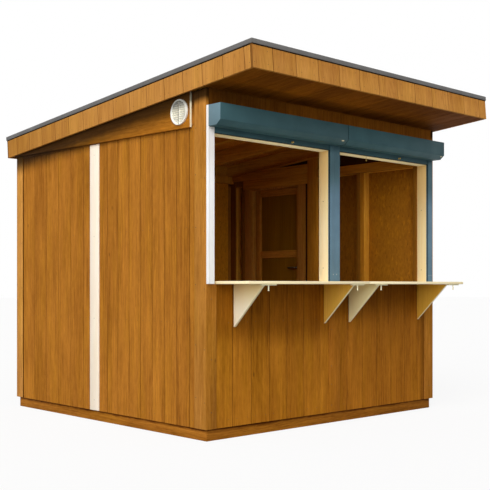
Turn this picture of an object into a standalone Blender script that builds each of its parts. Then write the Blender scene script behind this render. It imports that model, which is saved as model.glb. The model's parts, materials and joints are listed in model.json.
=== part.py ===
"""Wooden sales kiosk, 2.5 m square, with a single-pitch roof that overhangs the front.

Panels of grooved board on stud frames stand on a low base frame. The front has two hatches with
roller shutters and a counter on four folding brackets, and the right wall has a hinged door.
Metres, +Z up, +Y from the front to the rear. The origin is on the ground in the middle of the plan.
"""

import math

import bmesh
import bpy
from mathutils import Vector

# Clearance between pieces that touch
GAP = 0.0003

# Plan, over the faces of the corner boards
WIDTH = 2.5
DEPTH = 2.5
LEFT = -WIDTH / 2
RIGHT = WIDTH / 2
FRONT = -DEPTH / 2
REAR = DEPTH / 2

# Base frame and floor
BASE_HEIGHT = 0.08
BASE_INSET = 0.0206
BEARER_WIDTH = 0.12
JOIST_WIDTH = 0.045
JOIST_COUNT = 7
FLOOR_THICKNESS = 0.018

# Wall build-up, from the outside in
TRIM_PROUD = 0.004
CLADDING = 0.018
STUD_DEPTH = 0.07
STUD_WIDTH = 0.045
PLATE_HEIGHT = 0.07
FRAME_FACE = TRIM_PROUD + CLADDING + GAP
WALL_DEPTH = FRAME_FACE + STUD_DEPTH
WALL_BOTTOM = BASE_HEIGHT + GAP
STUD_PITCH = 0.6

# Cover boards
BATTEN_WIDTH = 0.12
BATTEN_CENTRE = 0.066
CORNER_SIDE = 0.123
CORNER_REAR = 0.102
CORNER_FRONT_LEFT = 0.089
CORNER_FRONT_RIGHT = 0.108
FRONT_COVER_WIDTH = 0.118
FRONT_COVER_CENTRE = 0.0105

# Roof, a slab that falls from the front to the rear
ROOF_SLOPE = math.atan(0.0819)
SOFFIT_FRONT_Z = 2.3724
FRONT_OVERHANG = 0.4959
REAR_OVERHANG = 0.0805
SIDE_OVERHANG = 0.0424
FASCIA_HEIGHT = 0.1558
FASCIA_THICKNESS = 0.018
SOFFIT_THICKNESS = 0.012
RAFTER_WIDTH = 0.045
RAFTER_COUNT = 5
BLOCKING_WIDTH = 0.045
DECK_THICKNESS = 0.018
COVER_THICKNESS = 0.018
TRIM_SHEET = 0.004
TRIM_HEIGHT = 0.03
TRIM_FLANGE = 0.06
ROOF_RUN = (FRONT_OVERHANG + DEPTH + REAR_OVERHANG) / math.cos(ROOF_SLOPE)
ROOF_HALF = WIDTH / 2 + SIDE_OVERHANG
RAFTER_LOW = SOFFIT_THICKNESS + GAP
DECK_LOW = FASCIA_HEIGHT - DECK_THICKNESS
RAFTER_HIGH = DECK_LOW - GAP
COVER_LOW = FASCIA_HEIGHT + GAP

# Side panels and the boards that fill the slope above them
PANEL_TOP = 2.1
GABLE_PROUD = 0.018
GABLE_START = 0.147
GABLE_LOW_FRONT = 2.083
GABLE_LOW_RISE = 0.0162
GABLE_LAP = 0.03

# Vent in the left gable board
VENT_RADIUS = 0.086
VENT_FROM_FRONT = 0.252
VENT_HEIGHT = 2.198
VENT_DEPTH = 0.014
VENT_RIM = 0.01
VENT_BACK = 0.003
VENT_SLATS = 9
VENT_SLAT_THICKNESS = 0.0025
VENT_SLAT_TILT = math.radians(40)
VENT_SLAT_DEPTH = 0.012
VENT_BAR_SUNK = 0.001
VENT_BAR = 0.008
VENT_DUCT_RADIUS = 0.06

# Counter, brackets and their turn-buttons
COUNTER_TOP = 1.059
COUNTER_THICKNESS = 0.02
COUNTER_REACH = 0.33
COUNTER_START = 0.075
COUNTER_SPLIT = 0.026
COUNTER_RIGHT_INSET = 0.04
COUNTER_JOINT = 0.003
COUNTER_LOW = COUNTER_TOP - COUNTER_THICKNESS
BRACKET_THICKNESS = 0.018
BRACKET_REACH = 0.29
BRACKET_HEIGHT = 0.288
BRACKET_TIP = 0.004
BRACKET_REST = 0.0008
BRACKET_CLEARANCE = 0.005
BRACKET_INSETS = (0.166, 0.136, 0.144, 0.182)
BRACKET_FOLDS_RIGHT = (True, False, True, False)
BUTTON_LENGTH = 0.136
BUTTON_WIDTH = 0.022
BUTTON_THICKNESS = 0.009
BUTTON_FROM_WALL = 0.309
PIN_RADIUS = 0.0045
PIN_LENGTH = 0.036

# Hatches, between the guide rails of the shutters
HATCH_TOP = 2.034
LINTEL_HEIGHT = 0.05
RAIL_WIDTH = 0.0535
RAIL_DEPTH = 0.022
RAIL_SLOT = 0.01
RAIL_SLOT_DEPTH = 0.036
CENTRE_RAIL_OFFSET = -0.0075
RIGHT_RAIL_INSET = 0.0385
WHITE_RAIL_BOTTOM = 1.0405

# Shutter boxes
BOX_START = 0.0011
BOX_SPLIT_OFFSET = 0.01
BOX_RIGHT_INSET = 0.0361
BOX_REACH = 0.1413
BOX_BOTTOM = 2.073
BOX_TOP = 2.2137
BOX_CHAMFER_REACH = 0.1022
BOX_CHAMFER_TOP = 2.1052
BOX_SHEET = 0.003
BAR_THICKNESS = 0.009
BAR_BOTTOM = 2.034
BAR_HEIGHT = 0.07
BAR_END_CLEARANCE = 0.004

# Door in the rear half of the right wall
DOOR_FROM_REAR = 0.37
DOOR_WIDTH = 0.64
DOOR_BOTTOM = 0.106
DOOR_TOP = 1.98
DOOR_THICKNESS = 0.04
DOOR_SHEET = 0.018
DOOR_RAIL = 0.07
DOOR_MID_RAIL = 1.335
DOOR_CLEARANCE = 0.005
CASING_WIDTH = 0.1
DOOR_STOP = 0.012
HINGE_RADIUS = 0.0065
HINGE_LENGTH = 0.1
HINGE_KNUCKLE = 0.04
HINGE_LEAF = 0.05
HINGE_SHEET = 0.0025
HINGE_PLATE_START = 0.013
HINGE_LUG = 0.0195
HINGE_FROM_BOTTOM = 0.2
HINGE_FROM_TOP = 0.2
HANDLE_HEIGHT = 1.2
HANDLE_FROM_EDGE = 0.045
HANDLE_LENGTH = 0.12
HANDLE_RADIUS = 0.009
LEVER_RADIUS = 0.0086
HANDLE_REACH = 0.036
ROSE_RADIUS = 0.022
ROSE_THICKNESS = 0.006

# How far a cutting shape runs past what it cuts
OVERCUT = 0.05


def make_collection(name):
    """A collection linked to the scene."""
    collection = bpy.data.collections.new(name)
    bpy.context.scene.collection.children.link(collection)
    return collection


def make_material(name, colour, roughness, metallic=0.0):
    """A Principled material of one colour."""
    material = bpy.data.materials.new(name)
    material.use_nodes = True
    shader = material.node_tree.nodes["Principled BSDF"]
    shader.inputs["Base Color"].default_value = (*colour, 1.0)
    shader.inputs["Roughness"].default_value = roughness
    shader.inputs["Metallic"].default_value = metallic
    material.diffuse_color = (*colour, 1.0)
    return material


def clear_scene():
    """Removes the objects that a new file starts with."""
    for obj in list(bpy.data.objects):
        bpy.data.objects.remove(obj, do_unlink=True)


clear_scene()
PARTS = make_collection("wooden_kiosk")
CUTTERS = make_collection("cutters")
CUTTERS.hide_render = True

STAINED = make_material("stained_board", (0.42, 0.19, 0.05), 0.55)
FRAMING = make_material("framing_timber", (0.30, 0.15, 0.05), 0.7)
RAW = make_material("unpainted_board", (0.90, 0.76, 0.55), 0.6)
FLOORING = make_material("floor_board", (0.40, 0.28, 0.16), 0.7)
MEMBRANE = make_material("roof_membrane", (0.10, 0.10, 0.11), 0.9)
EDGE_METAL = make_material("edge_trim_metal", (0.20, 0.20, 0.22), 0.5, 0.6)
BLUE_METAL = make_material("shutter_blue_metal", (0.10, 0.20, 0.25), 0.4, 0.3)
WHITE_METAL = make_material("rail_white_metal", (0.85, 0.84, 0.82), 0.4)
WHITE_PLASTIC = make_material("vent_plastic", (0.85, 0.85, 0.83), 0.5)
IRONWORK = make_material("door_ironwork", (0.25, 0.25, 0.25), 0.35, 0.9)


def add_object(name, mesh, material, location=(0, 0, 0), parent=None):
    """A named piece in the kiosk's collection."""
    obj = bpy.data.objects.new(name, mesh)
    obj.location = location
    obj.parent = parent
    if material is None:
        CUTTERS.objects.link(obj)
        obj.hide_render = True
        obj.display_type = "WIRE"
    else:
        mesh.materials.append(material)
        PARTS.objects.link(obj)
    return obj


def block_mesh(name, blocks):
    """A mesh of one or more boxes, each given by its lowest and its highest corner."""
    bm = bmesh.new()
    for low, high in blocks:
        low = Vector(low)
        high = Vector(high)
        made = bmesh.ops.create_cube(bm, size=1.0)
        bmesh.ops.scale(bm, vec=high - low, verts=made["verts"])
        bmesh.ops.translate(bm, vec=(low + high) / 2, verts=made["verts"])
    mesh = bpy.data.meshes.new(name)
    bm.to_mesh(mesh)
    bm.free()
    return mesh


def box(name, low, high, material, parent=None):
    """A box whose object stands at its centre."""
    low = Vector(low)
    high = Vector(high)
    half = (high - low) / 2
    mesh = block_mesh(name, [(-half, half)])
    return add_object(name, mesh, material, low + half, parent)


def cylinders(name, places, radius, direction, material=None, parent=None, segments=24):
    """A mesh of cylinders, each between two distances along X, Y or Z."""
    bm = bmesh.new()
    turn = Vector((0, 0, 1)).rotation_difference(Vector(direction)).to_matrix()
    for centre, length in places:
        made = bmesh.ops.create_cone(
            bm, cap_ends=True, segments=segments, radius1=radius, radius2=radius, depth=length
        )
        bmesh.ops.rotate(bm, cent=(0, 0, 0), matrix=turn, verts=made["verts"])
        bmesh.ops.translate(bm, vec=centre, verts=made["verts"])
    mesh = bpy.data.meshes.new(name)
    bm.to_mesh(mesh)
    bm.free()
    return add_object(name, mesh, material, parent=parent)


def boolean(obj, other, operation):
    """Cuts another object from this one, or joins it on."""
    modifier = obj.modifiers.new(other.name, "BOOLEAN")
    modifier.operation = operation
    modifier.solver = "EXACT"
    modifier.object = other


def cut_blocks(obj, name, blocks, parent=None):
    """Cuts boxes out of a piece."""
    boolean(obj, add_object(name, block_mesh(name, blocks), None, parent=parent), "DIFFERENCE")


def join_blocks(obj, name, blocks, parent=None):
    """Joins boxes on to a piece."""
    boolean(obj, add_object(name, block_mesh(name, blocks), None, parent=parent), "UNION")


def outline_mesh(name, outline, start, end, plane):
    """A flat outline as a filled curve, extruded from start to end across its plane.

    plane YZ extrudes along X and plane XY along Z.
    """
    curve = bpy.data.curves.new(name, "CURVE")
    curve.dimensions = "2D"
    curve.fill_mode = "BOTH"
    curve.extrude = abs(end - start) / 2
    spline = curve.splines.new("POLY")
    spline.points.add(len(outline) - 1)
    for point, (u, v) in zip(spline.points, outline):
        point.co = (u, v, 0, 1)
    spline.use_cyclic_u = True
    holder = bpy.data.objects.new(name, curve)
    bpy.context.scene.collection.objects.link(holder)
    graph = bpy.context.evaluated_depsgraph_get()
    mesh = bpy.data.meshes.new_from_object(holder.evaluated_get(graph))
    bpy.data.objects.remove(holder, do_unlink=True)
    bpy.data.curves.remove(curve)
    bm = bmesh.new()
    bm.from_mesh(mesh)
    bmesh.ops.remove_doubles(bm, verts=bm.verts, dist=0.00001)
    middle = (start + end) / 2
    for vert in bm.verts:
        u, v, w = vert.co
        vert.co = (w + middle, u, v) if plane == "YZ" else (u, v, w + middle)
    bmesh.ops.recalc_face_normals(bm, faces=bm.faces)
    bm.to_mesh(mesh)
    bm.free()
    mesh.name = name
    return mesh


def from_front(distance):
    """The Y of a point that lies this far behind the front corner boards."""
    return FRONT + distance


def from_left(distance):
    """The X of a point that lies this far to the right of the left corner boards."""
    return LEFT + distance


def roof_z(y, layer):
    """The height of a layer of the roof at y; layer is its distance above the soffit."""
    run = y - FRONT + FRONT_OVERHANG
    return SOFFIT_FRONT_Z - run * math.tan(ROOF_SLOPE) + layer / math.cos(ROOF_SLOPE)


def bays(start, end, count, bar):
    """The clear spaces between bars that divide a length evenly."""
    width = (end - start - (count - 1) * bar) / count
    return [(start + i * (width + bar), start + i * (width + bar) + width) for i in range(count)]


def stud_bays(start, end):
    """The clear spaces between the studs of a panel frame, at about the stud pitch."""
    count = max(1, round((end - start) / STUD_PITCH))
    return bays(start + STUD_WIDTH, end - STUD_WIDTH, count, STUD_WIDTH)


def make_base():
    """A frame of bearers and joists on the ground, and the floor on it."""
    low = Vector((LEFT + BASE_INSET, FRONT + BASE_INSET, 0))
    high = Vector((RIGHT - BASE_INSET, REAR - BASE_INSET, BASE_HEIGHT))
    frame = box("base_frame", low, high, STAINED)
    holes = []
    first = low.x + BEARER_WIDTH
    last = high.x - BEARER_WIDTH
    for start, end in bays(first, last, JOIST_COUNT + 1, JOIST_WIDTH):
        holes.append(
            (
                (start, low.y + BEARER_WIDTH, -OVERCUT),
                (end, high.y - BEARER_WIDTH, BASE_HEIGHT + OVERCUT),
            )
        )
    cut_blocks(frame, "base_bays", holes)
    inside = WALL_DEPTH + GAP
    box(
        "floor_deck",
        (LEFT + inside, FRONT + inside, BASE_HEIGHT + GAP),
        (RIGHT - inside, REAR - inside, BASE_HEIGHT + GAP + FLOOR_THICKNESS),
        FLOORING,
    )


# Places that several pieces share
BATTEN_START = from_front(DEPTH / 2 + BATTEN_CENTRE - BATTEN_WIDTH / 2)
BATTEN_END = BATTEN_START + BATTEN_WIDTH
DOOR_HINGE_EDGE = REAR - DOOR_FROM_REAR
DOOR_EDGE = DOOR_HINGE_EDGE - DOOR_WIDTH
FRAME_START = from_front(WALL_DEPTH + GAP)
FRAME_END = REAR - WALL_DEPTH - GAP
DOORWAY_START = DOOR_EDGE - DOOR_CLEARANCE
DOORWAY_END = DOOR_HINGE_EDGE + DOOR_CLEARANCE
DOORWAY_TOP = DOOR_TOP + DOOR_CLEARANCE
JAMB_START = DOORWAY_START - CASING_WIDTH
JAMB_END = DOORWAY_END + CASING_WIDTH
RIGHT_JOINT_START = JAMB_START - GAP - BATTEN_WIDTH
BRACKET_TOP = COUNTER_LOW - BRACKET_REST
COUNTER_LEFT_END = COUNTER_SPLIT - COUNTER_JOINT / 2
COUNTER_RIGHT_START = COUNTER_SPLIT + COUNTER_JOINT / 2
COUNTER_RIGHT_END = RIGHT - COUNTER_RIGHT_INSET
BRACKETS = (
    from_left(COUNTER_START) + BRACKET_INSETS[0],
    COUNTER_SPLIT - BRACKET_INSETS[1],
    COUNTER_SPLIT + BRACKET_INSETS[2],
    COUNTER_RIGHT_END - BRACKET_INSETS[3],
)
HATCHES = (
    (LEFT + RAIL_WIDTH, CENTRE_RAIL_OFFSET - RAIL_WIDTH),
    (CENTRE_RAIL_OFFSET + RAIL_WIDTH, RIGHT - RIGHT_RAIL_INSET - RAIL_WIDTH),
)


def side_layer(side, outer, inner):
    """The X range of a layer of a side wall, from two depths below its face; side is -1 or 1."""
    ends = (side * (RIGHT - outer), side * (RIGHT - inner))
    return min(ends), max(ends)


def side_frame(name, side, start, end):
    """Studs and plates of a side wall between two Y, with a top that follows the roof."""
    near, far = side_layer(side, FRAME_FACE, WALL_DEPTH)
    low = WALL_BOTTOM
    top = RAFTER_LOW - GAP
    outline = [(start, low), (end, low), (end, roof_z(end, top)), (start, roof_z(start, top))]
    frame = add_object(name, outline_mesh(name, outline, near, far, "YZ"), FRAMING)
    holes = []
    for first, last in stud_bays(start, end):
        holes.append(
            (
                (near - OVERCUT, first, low + PLATE_HEIGHT),
                (far + OVERCUT, last, PANEL_TOP - PLATE_HEIGHT),
            )
        )
    cut_blocks(frame, name + "_bays", holes)
    return frame


def side_board(name, side, start, end):
    """A panel of grooved board on a side wall."""
    near, far = side_layer(side, TRIM_PROUD, TRIM_PROUD + CLADDING)
    return box(name, (near, start, WALL_BOTTOM), (far, end, PANEL_TOP), STAINED)


def side_batten(name, side, start):
    """The cover board over the joint between two panels of a side wall."""
    near, far = side_layer(side, 0, TRIM_PROUD + CLADDING)
    return box(name, (near, start, WALL_BOTTOM), (far, start + BATTEN_WIDTH, PANEL_TOP), RAW)


def gable_low(y):
    """The lower edge of a gable board, which rises a little to the rear."""
    return GABLE_LOW_FRONT + (y - FRONT) * GABLE_LOW_RISE


def gable_board(name, side):
    """The board that fills the slope between a side wall and the fascia."""
    near, far = side_layer(side, -GABLE_PROUD, -GAP)
    start = from_front(GABLE_START)
    end = REAR
    outline = [
        (start, gable_low(start)),
        (end, gable_low(end)),
        (end, roof_z(end, GABLE_LAP)),
        (start, roof_z(start, GABLE_LAP)),
    ]
    return add_object(name, outline_mesh(name, outline, near, far, "YZ"), STAINED)


def gable_packing(side):
    """The X and the span of the board behind a gable board, above the panels."""
    near, far = side_layer(side, 0, TRIM_PROUD + CLADDING)
    start = from_front(CORNER_SIDE) + GAP
    end = REAR - CORNER_REAR - GAP
    return near, far, start, end


def gable_backing(name, side):
    """The board above the panels that carries the gable board."""
    near, far, start, end = gable_packing(side)
    top = -GAP
    outline = [
        (start, PANEL_TOP + GAP),
        (end, PANEL_TOP + GAP),
        (end, roof_z(end, top)),
        (start, roof_z(start, top)),
    ]
    return add_object(name, outline_mesh(name, outline, near, far, "YZ"), STAINED)


def cut_vent_duct(obj):
    """The round duct of the vent through a piece of the left wall."""
    centre = (LEFT, from_front(VENT_FROM_FRONT), VENT_HEIGHT)
    length = 2 * (WALL_DEPTH + GABLE_PROUD + OVERCUT)
    cutter = cylinders(
        obj.name + "_duct", [(centre, length)], VENT_DUCT_RADIUS, (1, 0, 0), segments=32
    )
    boolean(obj, cutter, "DIFFERENCE")


def make_left_wall():
    """Two panels, the unpainted joint board, the stud frame and the gable with its vent."""
    edge = from_front(CORNER_SIDE) + GAP
    side_board("left_wall_front", -1, edge, BATTEN_START - GAP)
    side_board("left_wall_rear", -1, BATTEN_END + GAP, REAR - CORNER_REAR - GAP)
    side_batten("left_joint_board", -1, BATTEN_START)
    frame = side_frame("left_wall_frame", -1, FRAME_START, FRAME_END)
    board = gable_board("left_gable_board", -1)
    backing = gable_backing("left_gable_backing", -1)
    for piece in (frame, board, backing):
        cut_vent_duct(piece)


def make_vent():
    """A round louvre: a turned dish with tilted slats and a centre bar between its walls."""
    dish_profile = [
        (0, VENT_BACK),
        (VENT_RADIUS - VENT_RIM, VENT_BACK),
        (VENT_RADIUS - VENT_RIM, VENT_DEPTH),
        (VENT_RADIUS, VENT_DEPTH),
        (VENT_RADIUS, 0),
        (0, 0),
    ]
    name = "left_gable_vent"
    mesh = bpy.data.meshes.new(name)
    edges = [(i, i + 1) for i in range(len(dish_profile) - 1)]
    mesh.from_pydata([(r, 0, z) for r, z in dish_profile], edges, [])
    dish = add_object(name, mesh, WHITE_PLASTIC)
    dish.location = (LEFT - GABLE_PROUD - GAP, from_front(VENT_FROM_FRONT), VENT_HEIGHT)
    dish.rotation_euler = (0, -math.pi / 2, 0)
    screw = dish.modifiers.new("turn", "SCREW")
    screw.axis = "Z"
    screw.steps = 40
    screw.render_steps = 40
    screw.use_merge_vertices = True
    screw.merge_threshold = 0.00001
    inner = VENT_RADIUS - VENT_RIM
    pitch = 2 * inner / (VENT_SLATS + 1)
    slat_middle = (VENT_BACK + VENT_DEPTH) / 2 - VENT_BAR_SUNK / 2
    bm = bmesh.new()
    for i in range(VENT_SLATS):
        height = -inner + (i + 1) * pitch
        half_chord = math.sqrt(inner**2 - height**2) + VENT_RIM / 2
        made = bmesh.ops.create_cube(bm, size=1.0)
        size = (VENT_SLAT_THICKNESS, 2 * half_chord, VENT_SLAT_DEPTH)
        bmesh.ops.scale(bm, vec=size, verts=made["verts"])
        tilt = Vector((0, 0, 1)).rotation_difference(
            Vector((math.sin(VENT_SLAT_TILT), 0, math.cos(VENT_SLAT_TILT)))
        )
        bmesh.ops.rotate(bm, cent=(0, 0, 0), matrix=tilt.to_matrix(), verts=made["verts"])
        bmesh.ops.translate(bm, vec=(height, 0, slat_middle), verts=made["verts"])
    slat_mesh = bpy.data.meshes.new("vent_slats")
    bm.to_mesh(slat_mesh)
    bm.free()
    slats = add_object("vent_slats", slat_mesh, None)
    bar_end = inner + VENT_RIM / 2
    bar_low = (-bar_end, -VENT_BAR / 2, VENT_BACK / 2)
    bar_high = (bar_end, VENT_BAR / 2, VENT_DEPTH - VENT_BAR_SUNK)
    bar = add_object("vent_bar", block_mesh("vent_bar", [(bar_low, bar_high)]), None)
    for piece in (slats, bar):
        piece.location = dish.location
        piece.rotation_euler = dish.rotation_euler
        boolean(dish, piece, "UNION")


def make_right_wall():
    """A front panel, the joint board, a narrow rear panel and the frames beside the doorway."""
    side_board("right_wall_front", 1, from_front(CORNER_SIDE) + GAP, RIGHT_JOINT_START - GAP)
    side_board("right_wall_rear", 1, JAMB_END + GAP, REAR - CORNER_REAR - GAP)
    side_batten("right_joint_board", 1, RIGHT_JOINT_START)
    side_frame("right_frame_front", 1, FRAME_START, JAMB_START - GAP)
    side_frame("right_frame_rear", 1, JAMB_END + GAP, FRAME_END)
    gable_board("right_gable_board", 1)
    gable_backing("right_gable_backing", 1)


def make_doorway():
    """Posts and head that line the doorway, with a stop behind the leaf and a threshold."""
    near, far = side_layer(1, 0, WALL_DEPTH)
    cladding_near = RIGHT - FRAME_FACE
    low = WALL_BOTTOM
    top = RAFTER_LOW - GAP
    outline = [
        (JAMB_START, low),
        (JAMB_END, low),
        (JAMB_END, roof_z(JAMB_END, top)),
        (JAMB_START, roof_z(JAMB_START, top)),
    ]
    frame = add_object("door_frame", outline_mesh("door_frame", outline, near, far, "YZ"), STAINED)
    leaf_back = RIGHT - DOOR_THICKNESS - DOOR_CLEARANCE
    sill = DOOR_BOTTOM - DOOR_CLEARANCE
    leaf_space = (
        (leaf_back, DOORWAY_START, sill),
        (RIGHT + OVERCUT, DOORWAY_END, DOORWAY_TOP),
    )
    passage = (
        (near - OVERCUT, DOORWAY_START + DOOR_STOP, sill),
        (RIGHT + OVERCUT, DOORWAY_END - DOOR_STOP, DOORWAY_TOP - DOOR_STOP),
    )
    gable_space = (
        (cladding_near, JAMB_START - OVERCUT, PANEL_TOP),
        (RIGHT + OVERCUT, JAMB_END + OVERCUT, SOFFIT_FRONT_Z),
    )
    cut_blocks(frame, "doorway", [leaf_space])
    cut_blocks(frame, "doorway_stop", [passage])
    cut_blocks(frame, "door_frame_head", [gable_space])
    return frame


def make_door(frame):
    """A framed leaf: a boarded sheet outside, stiles and three rails inside, and its handles."""
    outer = RIGHT
    inner = outer - DOOR_THICKNESS
    hinge = bpy.data.objects.new("door_hinge_axis", None)
    hinge.location = (outer + GAP + HINGE_RADIUS, DOOR_HINGE_EDGE + DOOR_CLEARANCE / 2, 0)
    PARTS.objects.link(hinge)
    axis = hinge.location
    low = Vector((inner, DOOR_EDGE, DOOR_BOTTOM)) - axis
    high = Vector((outer, DOOR_HINGE_EDGE, DOOR_TOP)) - axis
    leaf = add_object("door_leaf", block_mesh("door_leaf", [(low, high)]), STAINED, parent=hinge)
    first = low.y + DOOR_RAIL
    last = high.y - DOOR_RAIL
    heights = (
        (DOOR_BOTTOM + DOOR_RAIL, DOOR_MID_RAIL - DOOR_RAIL / 2),
        (DOOR_MID_RAIL + DOOR_RAIL / 2, DOOR_TOP - DOOR_RAIL),
    )
    panels = [
        ((low.x - OVERCUT, first, bottom), (high.x - DOOR_SHEET, last, top))
        for bottom, top in heights
    ]
    cut_blocks(leaf, "door_panels", panels, hinge)
    make_hinge("door_hinge_lower", DOOR_BOTTOM + HINGE_FROM_BOTTOM, hinge, frame)
    make_hinge("door_hinge_upper", DOOR_TOP - HINGE_FROM_TOP, hinge, frame)
    edge = DOOR_EDGE + HANDLE_FROM_EDGE
    make_handle("door_handle_outer", Vector((outer, edge, HANDLE_HEIGHT)), 1, hinge)
    make_handle("door_handle_inner", Vector((inner, edge, HANDLE_HEIGHT)), -1, hinge)


def make_hinge(name, middle, axis, frame):
    """A butt hinge: a knuckle and plate on the leaf, between two knuckles on the door frame."""
    plate_low = -HINGE_RADIUS
    plate_high = plate_low + HINGE_SHEET
    half = HINGE_LENGTH / 2
    place = (0, 0, middle)
    moving = cylinders(
        name, [((0, 0, 0), HINGE_KNUCKLE)], HINGE_RADIUS, (0, 0, 1), IRONWORK, axis, 20
    )
    moving.location = place
    lap = HINGE_KNUCKLE / 2
    leaf_plate = [
        ((plate_low, -HINGE_LEAF, -half), (plate_high, -HINGE_PLATE_START, half)),
        ((plate_low, -HINGE_LUG, -lap), (plate_high, 0, lap)),
    ]
    for i, block in enumerate(leaf_plate):
        plate_name = f"{name}_leaf_plate_{i}"
        plate = add_object(plate_name, block_mesh(plate_name, [block]), None, place, axis)
        boolean(moving, plate, "UNION")
    fixed_length = half - lap - GAP
    offset = lap + GAP + fixed_length / 2
    fixed = cylinders(
        name + "_fixed_knuckles",
        [((0, 0, offset), fixed_length), ((0, 0, -offset), fixed_length)],
        HINGE_RADIUS,
        (0, 0, 1),
        None,
        axis,
        20,
    )
    sunk = plate_low - 2 * GAP
    frame_plate = [
        ((sunk, HINGE_PLATE_START, -half), (plate_high, HINGE_LEAF, half)),
        ((plate_low, 0, lap + GAP), (plate_high, HINGE_LUG, half)),
        ((plate_low, 0, -half), (plate_high, HINGE_LUG, -lap - GAP)),
    ]
    fixed.location = place
    for i, block in enumerate(frame_plate):
        plate_name = f"{name}_frame_plate_{i}"
        plate = add_object(plate_name, block_mesh(plate_name, [block]), None, place, axis)
        boolean(frame, plate, "UNION")
    boolean(frame, fixed, "UNION")


def make_handle(name, place, side, axis):
    """A lever on a round rose; side is 1 outside and -1 inside."""
    place = place - axis.location
    base = side * GAP
    rose_end = base + side * ROSE_THICKNESS
    reach = base + side * HANDLE_REACH
    rose = cylinders(
        name,
        [(((base + rose_end) / 2, 0, 0), ROSE_THICKNESS)],
        ROSE_RADIUS,
        (1, 0, 0),
        IRONWORK,
        axis,
        28,
    )
    rose.location = place
    neck_middle = (base + side * ROSE_THICKNESS / 2 + reach) / 2
    neck_length = abs(reach - base) - ROSE_THICKNESS / 2
    neck = cylinders(
        name + "_neck", [((neck_middle, 0, 0), neck_length)], HANDLE_RADIUS, (1, 0, 0), None, axis, 20
    )
    lever = cylinders(
        name + "_lever",
        [((reach - side * HANDLE_RADIUS, HANDLE_LENGTH / 2 - HANDLE_RADIUS, 0), HANDLE_LENGTH)],
        LEVER_RADIUS,
        (0, 1, 0),
        None,
        axis,
        20,
    )
    for piece in (neck, lever):
        piece.location = place
        boolean(rose, piece, "UNION")


def make_rear_wall():
    """Two panels, the joint board and the stud frame of the rear wall."""
    outer = REAR - TRIM_PROUD
    inner = outer - CLADDING
    low = WALL_BOTTOM
    top = roof_z(REAR, 0) - GAP
    edge = CORNER_REAR + GAP
    half = BATTEN_WIDTH / 2
    box("rear_wall_left", (LEFT + edge, inner, low), (-half - GAP, outer, top), STAINED)
    box("rear_wall_right", (half + GAP, inner, low), (RIGHT - edge, outer, top), STAINED)
    box("rear_joint_board", (-half, inner, low), (half, REAR, top), RAW)
    frame_low = REAR - WALL_DEPTH
    frame_high = REAR - FRAME_FACE
    frame_top = roof_z(frame_high, RAFTER_LOW - GAP)
    start = LEFT + FRAME_FACE
    end = RIGHT - FRAME_FACE
    frame = box("rear_wall_frame", (start, frame_low, low), (end, frame_high, frame_top), FRAMING)
    holes = [
        (
            (first, frame_low - OVERCUT, low + PLATE_HEIGHT),
            (last, frame_high + OVERCUT, frame_top - PLATE_HEIGHT),
        )
        for first, last in stud_bays(start, end)
    ]
    cut_blocks(frame, "rear_bays", holes)


def make_corners():
    """Four corner boards, L-shaped in plan and cut to the slope of the roof."""
    thickness = TRIM_PROUD + CLADDING
    spans = {
        "corner_front_left": (-1, -1, CORNER_FRONT_LEFT, CORNER_SIDE),
        "corner_front_right": (1, -1, CORNER_FRONT_RIGHT, CORNER_SIDE),
        "corner_rear_left": (-1, 1, CORNER_REAR, CORNER_REAR),
        "corner_rear_right": (1, 1, CORNER_REAR, CORNER_REAR),
    }
    near = FRONT - OVERCUT
    far = REAR + OVERCUT
    under_roof = [
        (near, roof_z(near, 0) - GAP),
        (far, roof_z(far, 0) - GAP),
        (far, SOFFIT_FRONT_Z + OVERCUT),
        (near, SOFFIT_FRONT_Z + OVERCUT),
    ]
    wide = RIGHT + OVERCUT
    above = add_object(
        "corner_tops", outline_mesh("corner_tops", under_roof, -wide, wide, "YZ"), None
    )
    for name, (side, end, across, along) in spans.items():
        corner_x = side * WIDTH / 2
        corner_y = end * DEPTH / 2
        outline = [
            (corner_x, corner_y),
            (corner_x - side * across, corner_y),
            (corner_x - side * across, corner_y - end * thickness),
            (corner_x - side * thickness, corner_y - end * thickness),
            (corner_x - side * thickness, corner_y - end * along),
            (corner_x, corner_y - end * along),
        ]
        corner = add_object(
            name, outline_mesh(name, outline, WALL_BOTTOM, SOFFIT_FRONT_Z, "XY"), STAINED
        )
        boolean(corner, above, "DIFFERENCE")
        if end < 0:
            inner = corner_x - side * (thickness + GAP)
            outer = corner_x - side * (across + OVERCUT)
            cut_blocks(
                corner,
                name + "_notch",
                [
                    (
                        (min(inner, outer), FRONT - OVERCUT, COUNTER_LOW - GAP),
                        (max(inner, outer), FRONT + thickness + OVERCUT, SOFFIT_FRONT_Z + OVERCUT),
                    )
                ],
            )


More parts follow.
